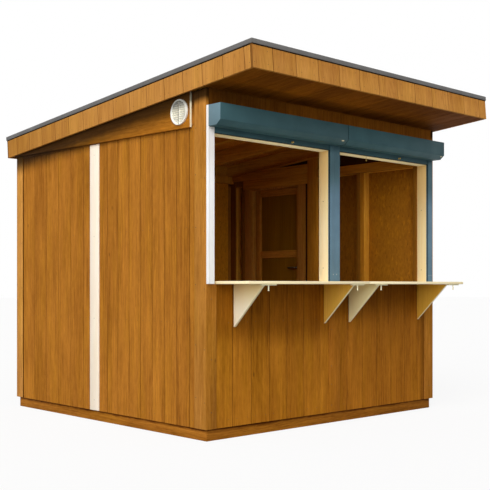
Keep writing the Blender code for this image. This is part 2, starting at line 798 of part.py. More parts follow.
def make_front_wall():
    """The boarded wall below the counter, its stud frame and the cover board on its joint."""
    outer = FRONT + TRIM_PROUD
    inner = outer + CLADDING
    low = WALL_BOTTOM
    top = COUNTER_LOW - GAP
    cover_start = FRONT_COVER_CENTRE - FRONT_COVER_WIDTH / 2
    cover_end = cover_start + FRONT_COVER_WIDTH
    left_start = from_left(CORNER_FRONT_LEFT) + GAP
    right_end = RIGHT - CORNER_FRONT_RIGHT - GAP
    left = box("front_wall_left", (left_start, outer, low), (cover_start - GAP, inner, top), STAINED)
    right = box("front_wall_right", (cover_end + GAP, outer, low), (right_end, inner, top), STAINED)
    cover = box("front_cover_board", (cover_start, FRONT, low), (cover_end, inner, top), STAINED)
    pad_front = outer - BRACKET_CLEARANCE + GAP
    pad_high = BRACKET_TOP
    for i, x in enumerate(BRACKETS):
        middle = x + BRACKET_THICKNESS / 2
        wall = left if middle < cover_start else right if middle > cover_end else cover
        pad = (
            (x, pad_front, pad_high - BRACKET_HEIGHT),
            (x + BRACKET_THICKNESS, outer + CLADDING / 2, pad_high),
        )
        join_blocks(wall, f"bracket_pad_{i + 1}", [pad])
    frame_low = FRONT + FRAME_FACE
    frame_high = FRONT + WALL_DEPTH
    start = LEFT + FRAME_FACE
    end = RIGHT - FRAME_FACE
    frame = box("front_wall_frame", (start, frame_low, low), (end, frame_high, top), FRAMING)
    holes = [
        (
            (first, frame_low - OVERCUT, low + PLATE_HEIGHT),
            (last, frame_high + OVERCUT, top - PLATE_HEIGHT),
        )
        for first, last in stud_bays(start, end)
    ]
    cut_blocks(frame, "front_bays", holes)


def make_hatch_frame():
    """Sill, posts and lintel of the hatches, and the frame above that carries the rafters."""
    low = COUNTER_LOW
    back = FRONT + WALL_DEPTH
    top = roof_z(back, RAFTER_LOW - GAP)
    lintel_top = HATCH_TOP + LINTEL_HEIGHT
    frame = box(
        "hatch_frame", (LEFT + FRAME_FACE, FRONT, low), (RIGHT - FRAME_FACE, back, top), RAW
    )
    openings = [
        ((start, FRONT - OVERCUT, COUNTER_TOP), (end, back + OVERCUT, HATCH_TOP))
        for start, end in HATCHES
    ]
    cut_blocks(frame, "hatch_openings", openings)
    header = [
        ((start, FRONT - OVERCUT, lintel_top), (end, back + OVERCUT, top - PLATE_HEIGHT))
        for start, end in HATCHES
    ]
    cut_blocks(frame, "header_bays", header)
    cut_blocks(
        frame,
        "header_rebate",
        [((LEFT, FRONT - OVERCUT, lintel_top), (RIGHT, FRONT + FRAME_FACE, top + OVERCUT))],
    )
    outer = FRONT + TRIM_PROUD
    inner = outer + CLADDING
    box(
        "front_header",
        (LEFT + FRAME_FACE, outer, lintel_top + GAP),
        (RIGHT - FRAME_FACE, inner, roof_z(inner, 0) - GAP),
        STAINED,
    )


def make_rails():
    """The guide rails of the shutters, with a slot towards each hatch."""
    back = FRONT - GAP
    front = FRONT - RAIL_DEPTH
    slot_middle = (front + back) / 2
    slot_low = slot_middle - RAIL_SLOT / 2
    slot_high = slot_middle + RAIL_SLOT / 2
    low = COUNTER_TOP + GAP
    rails = (
        ("guide_rail_left", LEFT, HATCHES[0][0], WHITE_RAIL_BOTTOM, WHITE_METAL),
        ("guide_rail_centre", HATCHES[0][1], HATCHES[1][0], low, BLUE_METAL),
        ("guide_rail_right", HATCHES[1][1], HATCHES[1][1] + RAIL_WIDTH, low, BLUE_METAL),
    )
    for name, start, end, bottom, material in rails:
        rail = box(name, (start, front, bottom), (end, back, BOX_TOP), material)
        slots = []
        for hatch_start, hatch_end in HATCHES:
            if abs(end - hatch_start) < GAP:
                slots.append((end - RAIL_SLOT_DEPTH, end + OVERCUT))
            if abs(start - hatch_end) < GAP:
                slots.append((start - OVERCUT, start + RAIL_SLOT_DEPTH))
        blocks = [
            ((first, slot_low, bottom - OVERCUT), (last, slot_high, BOX_TOP + OVERCUT))
            for first, last in slots
        ]
        cut_blocks(rail, name + "_slot", blocks)
    bar_low = slot_middle - BAR_THICKNESS / 2
    bar_high = slot_middle + BAR_THICKNESS / 2
    for name, (start, end) in zip(("shutter_bar_left", "shutter_bar_right"), HATCHES):
        reach = RAIL_SLOT_DEPTH - BAR_END_CLEARANCE
        box(
            name,
            (start - reach, bar_low, BAR_BOTTOM),
            (end + reach, bar_high, BAR_BOTTOM + BAR_HEIGHT),
            BLUE_METAL,
        )


def box_outline(inset):
    """The section of a shutter box, open towards the wall where it is inset."""
    back = FRONT - RAIL_DEPTH - GAP + (OVERCUT if inset else 0)
    front = FRONT - BOX_REACH + inset
    corner = inset * math.tan(math.pi / 8)
    return [
        (back, BOX_BOTTOM + inset),
        (FRONT - BOX_CHAMFER_REACH + corner, BOX_BOTTOM + inset),
        (front, BOX_CHAMFER_TOP + corner),
        (front, BOX_TOP - inset),
        (back, BOX_TOP - inset),
    ]


def make_shutter_boxes():
    """Two bent-sheet boxes with closed ends, which hide the rolled shutters."""
    spans = (
        ("shutter_box_left", from_left(BOX_START), BOX_SPLIT_OFFSET - GAP),
        ("shutter_box_right", BOX_SPLIT_OFFSET, RIGHT - BOX_RIGHT_INSET),
    )
    for name, start, end in spans:
        shell = add_object(name, outline_mesh(name, box_outline(0), start, end, "YZ"), BLUE_METAL)
        hollow = outline_mesh(
            name + "_hollow", box_outline(BOX_SHEET), start + BOX_SHEET, end - BOX_SHEET, "YZ"
        )
        boolean(shell, add_object(name + "_hollow", hollow, None), "DIFFERENCE")


def make_counter():
    """Two counter boards with a turn-button under the front edge for each bracket."""
    boards = (
        ("counter_left", from_left(COUNTER_START), COUNTER_LEFT_END, BRACKETS[:2]),
        ("counter_right", COUNTER_RIGHT_START, COUNTER_RIGHT_END, BRACKETS[2:]),
    )
    button_y = FRONT - BUTTON_FROM_WALL
    button_low = COUNTER_LOW - BUTTON_THICKNESS
    plate_high = COUNTER_LOW + COUNTER_THICKNESS / 2
    pin_high = COUNTER_LOW - BUTTON_THICKNESS / 2
    pin_low = button_low - PIN_LENGTH
    for name, start, end, brackets in boards:
        board = box(
            name,
            (start, FRONT - COUNTER_REACH, COUNTER_LOW),
            (end, FRONT - GAP, COUNTER_TOP),
            RAW,
        )
        middles = [x + BRACKET_THICKNESS / 2 for x in brackets]
        plates = [
            (
                (x - BUTTON_LENGTH / 2, button_y - BUTTON_WIDTH / 2, button_low),
                (x + BUTTON_LENGTH / 2, button_y + BUTTON_WIDTH / 2, plate_high),
            )
            for x in middles
        ]
        join_blocks(board, name + "_buttons", plates)
        pins = [((x, button_y, (pin_low + pin_high) / 2), pin_high - pin_low) for x in middles]
        boolean(board, cylinders(name + "_pins", pins, PIN_RADIUS, (0, 0, 1), segments=12), "UNION")


def make_brackets():
    """Four triangular boards; each turns about the rear corner on the side that it folds to."""
    outline = [
        (0, 0),
        (-BRACKET_REACH, 0),
        (-BRACKET_REACH, -BRACKET_TIP),
        (-BRACKET_TIP, -BRACKET_HEIGHT),
        (0, -BRACKET_HEIGHT),
    ]
    pivot_y = FRONT + TRIM_PROUD - BRACKET_CLEARANCE
    for i, (x, folds_right) in enumerate(zip(BRACKETS, BRACKET_FOLDS_RIGHT)):
        name = f"bracket_{i + 1}"
        start = -BRACKET_THICKNESS if folds_right else 0
        mesh = outline_mesh(name, outline, start, start + BRACKET_THICKNESS, "YZ")
        bracket = add_object(name, mesh, RAW)
        bracket.location = (x - start, pivot_y, BRACKET_TOP)


def make_roof():
    """The roof in its own sloping frame: fascias, soffit, rafters, deck, cover and edge trim."""
    roof = bpy.data.objects.new("roof_slope", None)
    roof.location = (0, FRONT - FRONT_OVERHANG, SOFFIT_FRONT_Z)
    roof.rotation_euler = (-ROOF_SLOPE, 0, 0)
    PARTS.objects.link(roof)
    edge = FASCIA_THICKNESS + GAP
    inner_half = ROOF_HALF - edge
    inner_end = ROOF_RUN - edge
    box(
        "fascia_front",
        (-ROOF_HALF, 0, 0),
        (ROOF_HALF, FASCIA_THICKNESS, FASCIA_HEIGHT),
        STAINED,
        roof,
    )
    box(
        "fascia_rear",
        (-ROOF_HALF, ROOF_RUN - FASCIA_THICKNESS, 0),
        (ROOF_HALF, ROOF_RUN, FASCIA_HEIGHT),
        STAINED,
        roof,
    )
    for name, side in (("fascia_left", -1), ("fascia_right", 1)):
        near, far = sorted((side * ROOF_HALF, side * (ROOF_HALF - FASCIA_THICKNESS)))
        box(name, (near, edge, 0), (far, inner_end, FASCIA_HEIGHT), STAINED, roof)
    soffit_end = FRONT_OVERHANG / math.cos(ROOF_SLOPE) - SOFFIT_THICKNESS * math.tan(ROOF_SLOPE)
    box(
        "front_soffit",
        (-inner_half, edge, 0),
        (inner_half, soffit_end - GAP, SOFFIT_THICKNESS),
        STAINED,
        roof,
    )
    rafter_half = WIDTH / 2 - FRAME_FACE
    frame = box(
        "roof_frame",
        (-rafter_half, edge, RAFTER_LOW),
        (rafter_half, inner_end, RAFTER_HIGH),
        FRAMING,
        roof,
    )
    openings = [
        (
            (start, edge + BLOCKING_WIDTH, RAFTER_LOW - OVERCUT),
            (end, inner_end - BLOCKING_WIDTH, RAFTER_HIGH + OVERCUT),
        )
        for start, end in bays(
            -rafter_half + RAFTER_WIDTH, rafter_half - RAFTER_WIDTH, RAFTER_COUNT - 1, RAFTER_WIDTH
        )
    ]
    cut_blocks(frame, "rafter_bays", openings, roof)
    box(
        "roof_deck",
        (-inner_half, edge, DECK_LOW),
        (inner_half, inner_end, FASCIA_HEIGHT),
        FLOORING,
        roof,
    )
    cover_high = COVER_LOW + COVER_THICKNESS
    box("roof_cover", (-ROOF_HALF, 0, COVER_LOW), (ROOF_HALF, ROOF_RUN, cover_high), MEMBRANE, roof)
    make_edge_trim(roof, cover_high)


def make_edge_trim(roof, cover_high):
    """A folded metal angle round the edge: a leg down the fascia and a flange over the cover."""
    outer = GAP + TRIM_SHEET
    leg_low = FASCIA_HEIGHT - TRIM_SHEET
    leg_high = max(leg_low + TRIM_HEIGHT, cover_high + GAP + TRIM_SHEET)
    trim = box(
        "roof_edge_trim",
        (-ROOF_HALF - outer, -outer, leg_low),
        (ROOF_HALF + outer, ROOF_RUN + outer, leg_high),
        EDGE_METAL,
        roof,
    )
    below = (
        (-ROOF_HALF - GAP, -GAP, leg_low - OVERCUT),
        (ROOF_HALF + GAP, ROOF_RUN + GAP, cover_high + GAP),
    )
    inner = TRIM_FLANGE
    above = (
        (-ROOF_HALF + inner, inner, leg_low - OVERCUT),
        (ROOF_HALF - inner, ROOF_RUN - inner, leg_high + OVERCUT),
    )
    cut_blocks(trim, "trim_below", [below], roof)
    cut_blocks(trim, "trim_above", [above], roof)


make_base()
make_left_wall()
make_vent()
make_right_wall()
make_door(make_doorway())
make_rear_wall()
make_corners()
make_front_wall()
make_hatch_frame()
make_rails()
make_shutter_boxes()
make_counter()
make_brackets()
make_roof()
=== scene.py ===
import json
import math

import bmesh
import bpy
from mathutils import Matrix, Vector


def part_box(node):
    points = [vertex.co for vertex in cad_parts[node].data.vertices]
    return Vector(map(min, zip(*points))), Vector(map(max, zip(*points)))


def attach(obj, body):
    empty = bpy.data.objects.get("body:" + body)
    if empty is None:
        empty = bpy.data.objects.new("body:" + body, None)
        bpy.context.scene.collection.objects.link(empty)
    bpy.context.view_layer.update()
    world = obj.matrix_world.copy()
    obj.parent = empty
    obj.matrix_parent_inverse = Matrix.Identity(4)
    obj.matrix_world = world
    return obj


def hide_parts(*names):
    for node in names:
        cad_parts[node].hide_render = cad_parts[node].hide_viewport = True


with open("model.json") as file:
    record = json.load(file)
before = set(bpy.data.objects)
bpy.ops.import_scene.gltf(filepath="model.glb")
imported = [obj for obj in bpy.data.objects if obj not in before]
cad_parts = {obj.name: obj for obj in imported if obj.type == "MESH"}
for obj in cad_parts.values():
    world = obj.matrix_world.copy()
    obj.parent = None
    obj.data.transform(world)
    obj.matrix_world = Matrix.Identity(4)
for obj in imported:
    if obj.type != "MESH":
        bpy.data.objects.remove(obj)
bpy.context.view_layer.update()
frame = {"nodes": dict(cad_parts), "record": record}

# The camera stands a little above the counter, off the left front corner, and looks level.
# Its lens is shifted, so the upright edges stay upright.
camera_data = bpy.data.cameras.new("camera")
camera_data.sensor_width = 36.0
camera_data.lens = 67.264
camera_data.shift_x = -0.0210
camera_data.shift_y = 0.0809
camera = bpy.data.objects.new("camera", camera_data)
camera.location = (-5.1383, -5.8384, 1.0355)
camera.rotation_euler = (math.radians(90), 0, math.radians(-43.3478))
bpy.context.scene.collection.objects.link(camera)
bpy.context.scene.camera = camera
bpy.context.scene.view_settings.view_transform = "Standard"


# Plain pale floor, white surroundings and soft light from the left: a high sun for the shadow of the
# roof edge, a low one for reveals and brackets, and a broad one for the front. Three weak lamps carry
# daylight in through the hatches, up from the counter and up from the ground.
def node(tree, kind, values=None, **settings):
    """A node with its settings, and with inputs given as numbers or as the sockets that feed them."""
    made = tree.nodes.new(kind)
    for key, value in settings.items():
        setattr(made, key, value)
    for key, value in (values or {}).items():
        if isinstance(value, bpy.types.NodeSocket):
            tree.links.new(value, made.inputs[key])
        else:
            made.inputs[key].default_value = value
    return made


def maths(tree, operation, *values):
    """The result of a Math node."""
    return node(tree, "ShaderNodeMath", dict(enumerate(values)), operation=operation).outputs[0]


def lit_or_seen(tree, lit, seen):
    """One shader for the light that a surface gives, and another where a ray sees it directly."""
    path = node(tree, "ShaderNodeLightPath")
    direct = maths(tree, "MAXIMUM", path.outputs["Is Camera Ray"], path.outputs["Is Glossy Ray"])
    direct = maths(tree, "MAXIMUM", direct, path.outputs["Is Transmission Ray"])
    return node(tree, "ShaderNodeMixShader", {0: direct, 1: lit.outputs[0], 2: seen.outputs[0]}).outputs[0]


world = bpy.data.worlds.new("surroundings")
world.use_nodes = True
bpy.context.scene.world = world
sky = world.node_tree
sky.nodes.clear()
ambient = node(sky, "ShaderNodeBackground", {"Color": (1.0, 0.98, 0.95, 1), "Strength": 0.39})
backdrop = node(sky, "ShaderNodeBackground", {"Color": (1, 1, 1, 1), "Strength": 1.0})
node(sky, "ShaderNodeOutputWorld", {"Surface": lit_or_seen(sky, ambient, backdrop)})

paper = bpy.data.materials.new("studio_paper")
paper.use_nodes = True
paper_tree = paper.node_tree
paper_tree.nodes.clear()
matt = node(paper_tree, "ShaderNodeBsdfDiffuse", {"Color": (0.3, 0.295, 0.285, 1)})
pale = node(paper_tree, "ShaderNodeBsdfDiffuse", {"Color": (0.9, 0.9, 0.9, 1)})
glow = node(paper_tree, "ShaderNodeEmission", {"Color": (1, 1, 1, 1), "Strength": 1.0})
white = node(paper_tree, "ShaderNodeMixShader", {0: 0.88, 1: pale.outputs[0], 2: glow.outputs[0]})
node(paper_tree, "ShaderNodeOutputMaterial", {"Surface": lit_or_seen(paper_tree, matt, white)})

FLOOR_REACH = 60
floor_corners = [(x * FLOOR_REACH, y * FLOOR_REACH, 0) for x, y in ((-1, -1), (1, -1), (1, 1), (-1, 1))]
floor_mesh = bpy.data.meshes.new("studio_floor")
floor_mesh.from_pydata(floor_corners, [], [(0, 1, 2, 3)])
floor_mesh.materials.append(paper)
floor = bpy.data.objects.new("studio_floor", floor_mesh)
floor.location.z = -0.001
bpy.context.scene.collection.objects.link(floor)


def hang_lamp(name, kind, energy, turn, place=(0, 0, 0), **settings):
    """A lamp with its strength, its turn, its place and the settings of its kind."""
    lamp_data = bpy.data.lights.new(name, kind)
    lamp_data.energy = energy
    for key, value in settings.items():
        setattr(lamp_data, key, value)
    lamp = bpy.data.objects.new(name, lamp_data)
    lamp.location = place
    lamp.rotation_euler = turn
    bpy.context.scene.collection.objects.link(lamp)
    return lamp


for name, strength, disc, direction in (
    ("high_sun", 1.3, 30, (0.60, 0.34, -0.72)),
    ("low_sun", 1.46, 50, (0.86, 0.46, -0.22)),
    ("front_sun", 0.86, 70, (0.55, 0.81, -0.22)),
):
    turn = Vector(direction).to_track_quat("-Z", "Y").to_euler()
    hang_lamp(name, "SUN", strength, turn, angle=math.radians(disc))
for name, width, depth, energy, place, tilt, beam in (
    ("hatch_fill", 2.0, 0.85, 2.0, (0, -1.1, 1.5), 80, 180),
    ("counter_bounce", 2.2, 0.12, 1.0, (0, -1.2, 1.07), 180, 60),
    ("ground_bounce", 3.0, 1.0, 3.0, (-0.3, -2.4, 0.02), 165, 180),
):
    sizes = {"shape": "RECTANGLE", "size": width, "size_y": depth, "spread": math.radians(beam)}
    lamp = hang_lamp(name, "AREA", energy, (math.radians(tilt), 0, 0), place, **sizes)
    lamp.visible_camera = False
    lamp.visible_glossy = False


# Base frame: stained softwood bearers on the ground, set back a little under the walls.
# All timber shares one grain, stretched along the board, with rings, fine fibres and a few knots.
def srgb(red, green, blue):
    """A linear colour from the three numbers, 0 to 255, that a picture shows."""
    linear = []
    for value in (red, green, blue):
        share = value / 255
        linear.append(share / 12.92 if share <= 0.04045 else ((share + 0.055) / 1.055) ** 2.4)
    return (*linear, 1.0)


def new_tree(name, kind, inputs, outputs):
    """A node group with named sockets: (name, what it holds, value) going in, (name, what) out."""
    tree = bpy.data.node_groups.new(name, kind)
    for label, holds, value in inputs:
        socket = tree.interface.new_socket(label, in_out="INPUT", socket_type="NodeSocket" + holds)
        if value is not None:
            socket.default_value = value
    for label, holds in outputs:
        tree.interface.new_socket(label, in_out="OUTPUT", socket_type="NodeSocket" + holds)
    return tree, node(tree, "NodeGroupInput").outputs, node(tree, "NodeGroupOutput").inputs


def blend_colours(tree, share, first, second, how="MIX"):
    """Two colours mixed."""
    values = {0: share, 6: first, 7: second}
    return node(tree, "ShaderNodeMix", values, data_type="RGBA", blend_type=how).outputs[2]


def spread(tree, value, low, high, new_low=0.0, new_high=1.0):
    """A value taken from one range to another, and held within it."""
    values = {0: value, 1: low, 2: high, 3: new_low, 4: new_high}
    return node(tree, "ShaderNodeMapRange", values, clamp=True).outputs[0]


def noise(tree, place, scale, detail, roughness=0.5):
    """Soft noise over a place."""
    values = {"Vector": place, "Scale": scale, "Detail": detail, "Roughness": roughness}
    return node(tree, "ShaderNodeTexNoise", values).outputs[0]


def red_of(tree, colour):
    """The red share of a colour, as one number for each cell."""
    return node(tree, "ShaderNodeSeparateColor", {0: colour}).outputs[0]


EFFECT_OUTPUTS = (("Colour", "Color"), ("Roughness", "Float"), ("Relief", "Float"))


def timber_grain():
    """Colour, gloss and relief of sawn softwood whose grain runs along Z."""
    tree, given, result = new_tree(
        "timber_grain",
        "ShaderNodeTree",
        (
            ("Place", "Vector", None),
            ("Board", "Float", 0.5),
            ("Edge", "Float", 0.0),
            ("Light Colour", "Color", (0.5, 0.3, 0.1, 1)),
            ("Dark Colour", "Color", (0.2, 0.1, 0.03, 1)),
            ("Fibres", "Float", 0.5),
            ("Rings", "Float", 0.4),
            ("Knots", "Float", 0.5),
            ("Board Tone", "Float", 0.25),
            ("Golden", "Float", 0.7),
        ),
        EFFECT_OUTPUTS,
    )
    shift = {0: (3.7, 5.3, 9.1), "Scale": given["Board"]}
    shift = node(tree, "ShaderNodeVectorMath", shift, operation="SCALE").outputs[0]
    place = {0: given["Place"], 1: shift}
    place = node(tree, "ShaderNodeVectorMath", place, operation="ADD").outputs[0]

    def stretched(*scale):
        return node(tree, "ShaderNodeMapping", {"Vector": place, "Scale": scale}).outputs[0]

    def add_part(tone, value, share):
        return maths(tree, "MULTIPLY_ADD", maths(tree, "SUBTRACT", value, 0.5), share, tone)

    long = stretched(1, 1, 0.03)
    slow = stretched(1, 1, 0.16)
    short = stretched(1, 1, 0.22)
    fibres = noise(tree, long, 210.0, 3.0, 0.6)
    streaks = noise(tree, long, 80.0, 4.0, 0.6)
    wear = noise(tree, short, 75.0, 3.0, 0.7)
    blotches = noise(tree, slow, 12.0, 3.0)
    parts = node(tree, "ShaderNodeSeparateXYZ", {0: slow}).outputs
    across = maths(tree, "ADD", parts[0], parts[1])
    ring_place = maths(tree, "MULTIPLY_ADD", noise(tree, slow, 2.6, 2.0), 0.4, across)
    rings = spread(tree, maths(tree, "SINE", maths(tree, "MULTIPLY", ring_place, 420.0)), -1.0, 1.0)
    tone = maths(tree, "MULTIPLY", maths(tree, "SUBTRACT", fibres, 0.5), given["Fibres"])
    tone = add_part(tone, streaks, 1.2)
    tone = add_part(tone, wear, maths(tree, "MULTIPLY", given["Knots"], 1.3))
    tone = add_part(tone, rings, maths(tree, "MULTIPLY", given["Rings"], 0.3))
    tone = add_part(tone, blotches, 0.95)
    tone = add_part(tone, given["Board"], given["Board Tone"])
    tone = spread(tree, tone, -0.5, 0.5)
    colour = blend_colours(tree, tone, given["Dark Colour"], given["Light Colour"])
    patches = spread(tree, noise(tree, slow, 9.0, 2.0), 0.45, 0.65)
    golden = maths(tree, "MULTIPLY", patches, given["Golden"])
    colour = blend_colours(tree, golden, colour, (1.0, 1.05, 0.75, 1), "MULTIPLY")
    knot_cells = node(tree, "ShaderNodeTexVoronoi", {"Vector": stretched(6, 6, 3), "Scale": 1.0}).outputs
    knots = spread(tree, knot_cells["Distance"], 0.02, 0.065, 1.0, 0.0)
    has_knot = maths(tree, "GREATER_THAN", red_of(tree, knot_cells["Color"]), 0.5)
    knots = maths(tree, "MULTIPLY", maths(tree, "MULTIPLY", knots, has_knot), given["Knots"])
    dark = maths(tree, "MAXIMUM", knots, maths(tree, "MULTIPLY", given["Edge"], 0.78))
    darkest = blend_colours(tree, 0.62, given["Dark Colour"], (0.014, 0.004, 0.001, 1))
    tree.links.new(blend_colours(tree, dark, colour, darkest), result["Colour"])
    tree.links.new(spread(tree, tone, 0.0, 1.0, 0.8, 0.62), result["Roughness"])
    tree.links.new(maths(tree, "ADD", tone, fibres), result["Relief"])
    return tree


def sheltered():
    """What is left of a colour where a surface is sheltered from the light, along one direction."""
    tree, given, result = new_tree(
        "sheltered",
        "ShaderNodeTree",
        (
            ("Place", "Vector", None),
            ("Direction", "Vector", (0, 0, 1)),
            ("Dark At", "Float", 1.0),
            ("Clear At", "Float", 0.0),
            ("Darkest", "Color", (0.1, 0.1, 0.1, 1)),
        ),
        (("Shade", "Color"),),
    )
    along = {0: given["Place"], 1: given["Direction"]}
    along = node(tree, "ShaderNodeVectorMath", along, operation="DOT_PRODUCT").outputs["Value"]
    wander = noise(tree, given["Place"], 9.0, 3.0)
    along = maths(tree, "MULTIPLY_ADD", wander, -0.03, maths(tree, "ADD", along, 0.015))
    fade = {0: along, 1: given["Clear At"], 2: given["Dark At"]}
    share = node(tree, "ShaderNodeMapRange", fade, interpolation_type="SMOOTHSTEP").outputs[0]
    tree.links.new(blend_colours(tree, share, (1, 1, 1, 1), given["Darkest"]), result["Shade"])
    return tree


TIMBER_GRAIN = timber_grain()
SHELTERED = sheltered()
GRAIN_TURN = {"Z": (0, 0, 0), "X": (0, math.pi / 2, 0), "Y": (math.pi / 2, 0, 0)}
STAINED_MARKS = {"fibres": 0.5, "rings": 0.4, "knots": 0.6, "board_tone": 0.3, "golden": 0.7}
ROOF_FALL = 0.0819


def shelter(dark_at, clear_at, darkest, direction=(0, 0, 1)):
    """A shade that deepens along a direction: where it is darkest, where it is clear, and its tint."""
    return {"Dark At": dark_at, "Clear At": clear_at, "Darkest": (*darkest, 1), "Direction": direction}


def in_shelter(tree, place, colour, shade):
    """A colour under a shade."""
    group = node(tree, "ShaderNodeGroup", {"Place": place, **shade}, node_tree=SHELTERED)
    return blend_colours(tree, 1.0, colour, group.outputs["Shade"], "MULTIPLY")


def finish(name):
    """A new material: its tree, its Principled shader and the place on the piece."""
    material = bpy.data.materials.new(name)
    material.use_nodes = True
    tree = material.node_tree
    return material, tree, tree.nodes["Principled BSDF"], node(tree, "ShaderNodeTexCoord").outputs["Object"]


def add_relief(tree, shader, height, strength, depth):
    """Small surface relief from a height."""
    bump = node(tree, "ShaderNodeBump", {"Height": height, "Strength": strength, "Distance": depth})
    tree.links.new(bump.outputs[0], shader.inputs["Normal"])


def dress(tree, shader, place, colour, roughness, gloss, shade):
    """Feeds a shader its colour, which may lie in a shade, and its roughness, and sets its gloss."""
    if shade:
        colour = in_shelter(tree, place, colour, shade)
    tree.links.new(colour, shader.inputs["Base Color"])
    tree.links.new(roughness, shader.inputs["Roughness"])
    shader.inputs["Specular IOR Level"].default_value = gloss


def timber(name, along, light, dark, shade=None, **marks):
    """A timber finish with its grain along X, Y or Z. The marks say how far each part of it shows."""
    material, tree, shader, place = finish(name)
    values = {
        "Place": node(tree, "ShaderNodeMapping", {"Vector": place, "Rotation": GRAIN_TURN[along]}).outputs[0],
        "Board": node(tree, "ShaderNodeAttribute", attribute_name="board").outputs["Fac"],
        "Edge": node(tree, "ShaderNodeAttribute", attribute_name="edge").outputs["Fac"],
        "Light Colour": srgb(*light),
        "Dark Colour": srgb(*dark),
    }
    for mark, share in {**STAINED_MARKS, **marks}.items():
        values[mark.replace("_", " ").title()] = share
    grain = node(tree, "ShaderNodeGroup", values, node_tree=TIMBER_GRAIN).outputs
    dress(tree, shader, place, grain["Colour"], grain["Roughness"], 0.05, shade)
    add_relief(tree, shader, grain["Relief"], 0.25, 0.0012)
    return material


BODY_OF = {n: body for body, members in frame["record"]["behaviour"]["bodies"].items() for n in members}
SLOT_OF = {part["node"]: part["material_slot"] for part in frame["record"]["subparts"]}


def keep(piece, cad_node=None, body="kiosk", slot=None, replaced=True):
    """Puts a finished piece on its body, and hides the CAD node that it stands for when it replaces it."""
    if cad_node:
        body = BODY_OF[cad_node]
        slot = slot or SLOT_OF[cad_node]
    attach(piece, body)
    if cad_node and replaced:
        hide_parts(cad_node)
    return piece


def show(name, mesh, materials):
    """A new object of a finished mesh, at the origin."""
    mesh.materials.clear()
    for material in materials:
        mesh.materials.append(material)
    piece = bpy.data.objects.new(name, mesh)
    bpy.context.scene.collection.objects.link(piece)
    return piece


def evaluated(piece):
    """The mesh that a piece has once its modifiers have worked."""
    graph = bpy.context.evaluated_depsgraph_get()
    graph.update()
    return bpy.data.meshes.new_from_object(piece.evaluated_get(graph))


def smooth(mesh, angle):
    """Shades a mesh smooth, but for the edges that are sharper than an angle in degrees."""
    mesh.polygons.foreach_set("use_smooth", [True] * len(mesh.polygons))
    mesh.set_sharp_from_angle(angle=math.radians(angle))
    return mesh


def ease(mesh, width):
    """A mesh with its sharp edges rounded."""
    holder = bpy.data.objects.new("easing", mesh)
    bpy.context.scene.collection.objects.link(holder)
    bevel = holder.modifiers.new("easing", "BEVEL")
    bevel.width = width
    bevel.segments = 2
    bevel.limit_method = "ANGLE"
    bevel.angle_limit = math.radians(35)
    bevel.miter_outer = "MITER_ARC"
    bevel.loop_slide = False
    eased = evaluated(holder)
    bpy.data.objects.remove(holder, do_unlink=True)
    return smooth(eased, 32)


def from_bmesh(name, bm):
    """The mesh of a bmesh, which is then freed."""
    mesh = bpy.data.meshes.new(name)
    bm.to_mesh(mesh)
    bm.free()
    return mesh


def eased_copy(cad_node, width, materials, pick=None):
    """A merged copy of a CAD node with its edges eased. pick gives the material's number for a face."""
    bm = bmesh.new()
    bm.from_mesh(frame["nodes"][cad_node].data)
    bmesh.ops.remove_doubles(bm, verts=bm.verts, dist=MERGE_DISTANCE)
    flat = math.radians(FLAT_ANGLE)
    bmesh.ops.join_triangles(bm, faces=bm.faces, angle_face_threshold=flat, angle_shape_threshold=1.0)
    mesh = ease(from_bmesh(cad_node, bm), width)
    piece = show(cad_node + "_eased", mesh, materials)
    for face in mesh.polygons:
        face.material_index = pick(face) if pick else 0
    return keep(piece, cad_node)


def by_run(face):
    """On the base frame, boards that face the sides have their grain along Y."""
    return 1 if abs(face.normal.x) > 0.7 else 0


EASING = 0.0022
MERGE_DISTANCE = 0.00002
FLAT_ANGLE = 0.6
STAIN_LIGHT = (196, 128, 45)
STAIN_DARK = (130, 76, 19)
BASE_SHADE = shelter(0.074, 0.058, (0.38, 0.28, 0.25))
stained_across = timber("stained_across", "X", (188, 122, 40), (122, 70, 15), BASE_SHADE)
stained_along = timber("stained_along", "Y", STAIN_LIGHT, STAIN_DARK, BASE_SHADE)
eased_copy("base_frame", EASING, [stained_across, stained_along], by_run)


# Floor: sheets of strand board between the walls, seen from above through the hatches.
# Strand board is pressed from flat chips, so its colour changes chip by chip.
def strand_board():
    """Colour, roughness and relief of pressed wood strands that lie in two directions."""
    tree, given, result = new_tree(
        "strand_board",
        "ShaderNodeTree",
        (
            ("Place", "Vector", None),
            ("Light Colour", "Color", (0.6, 0.4, 0.2, 1)),
            ("Dark Colour", "Color", (0.3, 0.17, 0.07, 1)),
            ("Chip Scale", "Float", 22.0),
        ),
        EFFECT_OUTPUTS,
    )
    tones = []
    for turn, size in ((0.5, 1.0), (-0.7, 1.35)):
        lie = {"Vector": given["Place"], "Rotation": (turn, turn, 0), "Scale": (size, size, 0.4 * size)}
        lie = node(tree, "ShaderNodeMapping", lie).outputs[0]
        cells = {"Vector": lie, "Scale": given["Chip Scale"]}
        tones.append(red_of(tree, node(tree, "ShaderNodeTexVoronoi", cells).outputs["Color"]))
    fine = maths(tree, "MULTIPLY", noise(tree, given["Place"], 90.0, 3.0), 0.3)
    tone = maths(tree, "MULTIPLY_ADD", maths(tree, "ADD", *tones), 0.3, fine)
    tone = maths(tree, "MULTIPLY_ADD", maths(tree, "GREATER_THAN", tones[0], 0.96), 0.22, tone)
    tone = maths(tree, "MULTIPLY_ADD", maths(tree, "LESS_THAN", tones[1], 0.04), -0.3, tone)
    tone = spread(tree, tone, 0.05, 0.95)
    tree.links.new(blend_colours(tree, tone, given["Dark Colour"], given["Light Colour"]), result["Colour"])
    tree.links.new(spread(tree, tone, 0.0, 1.0, 0.8, 0.6), result["Roughness"])
    tree.links.new(tone, result["Relief"])
    return tree


STRAND_BOARD = strand_board()


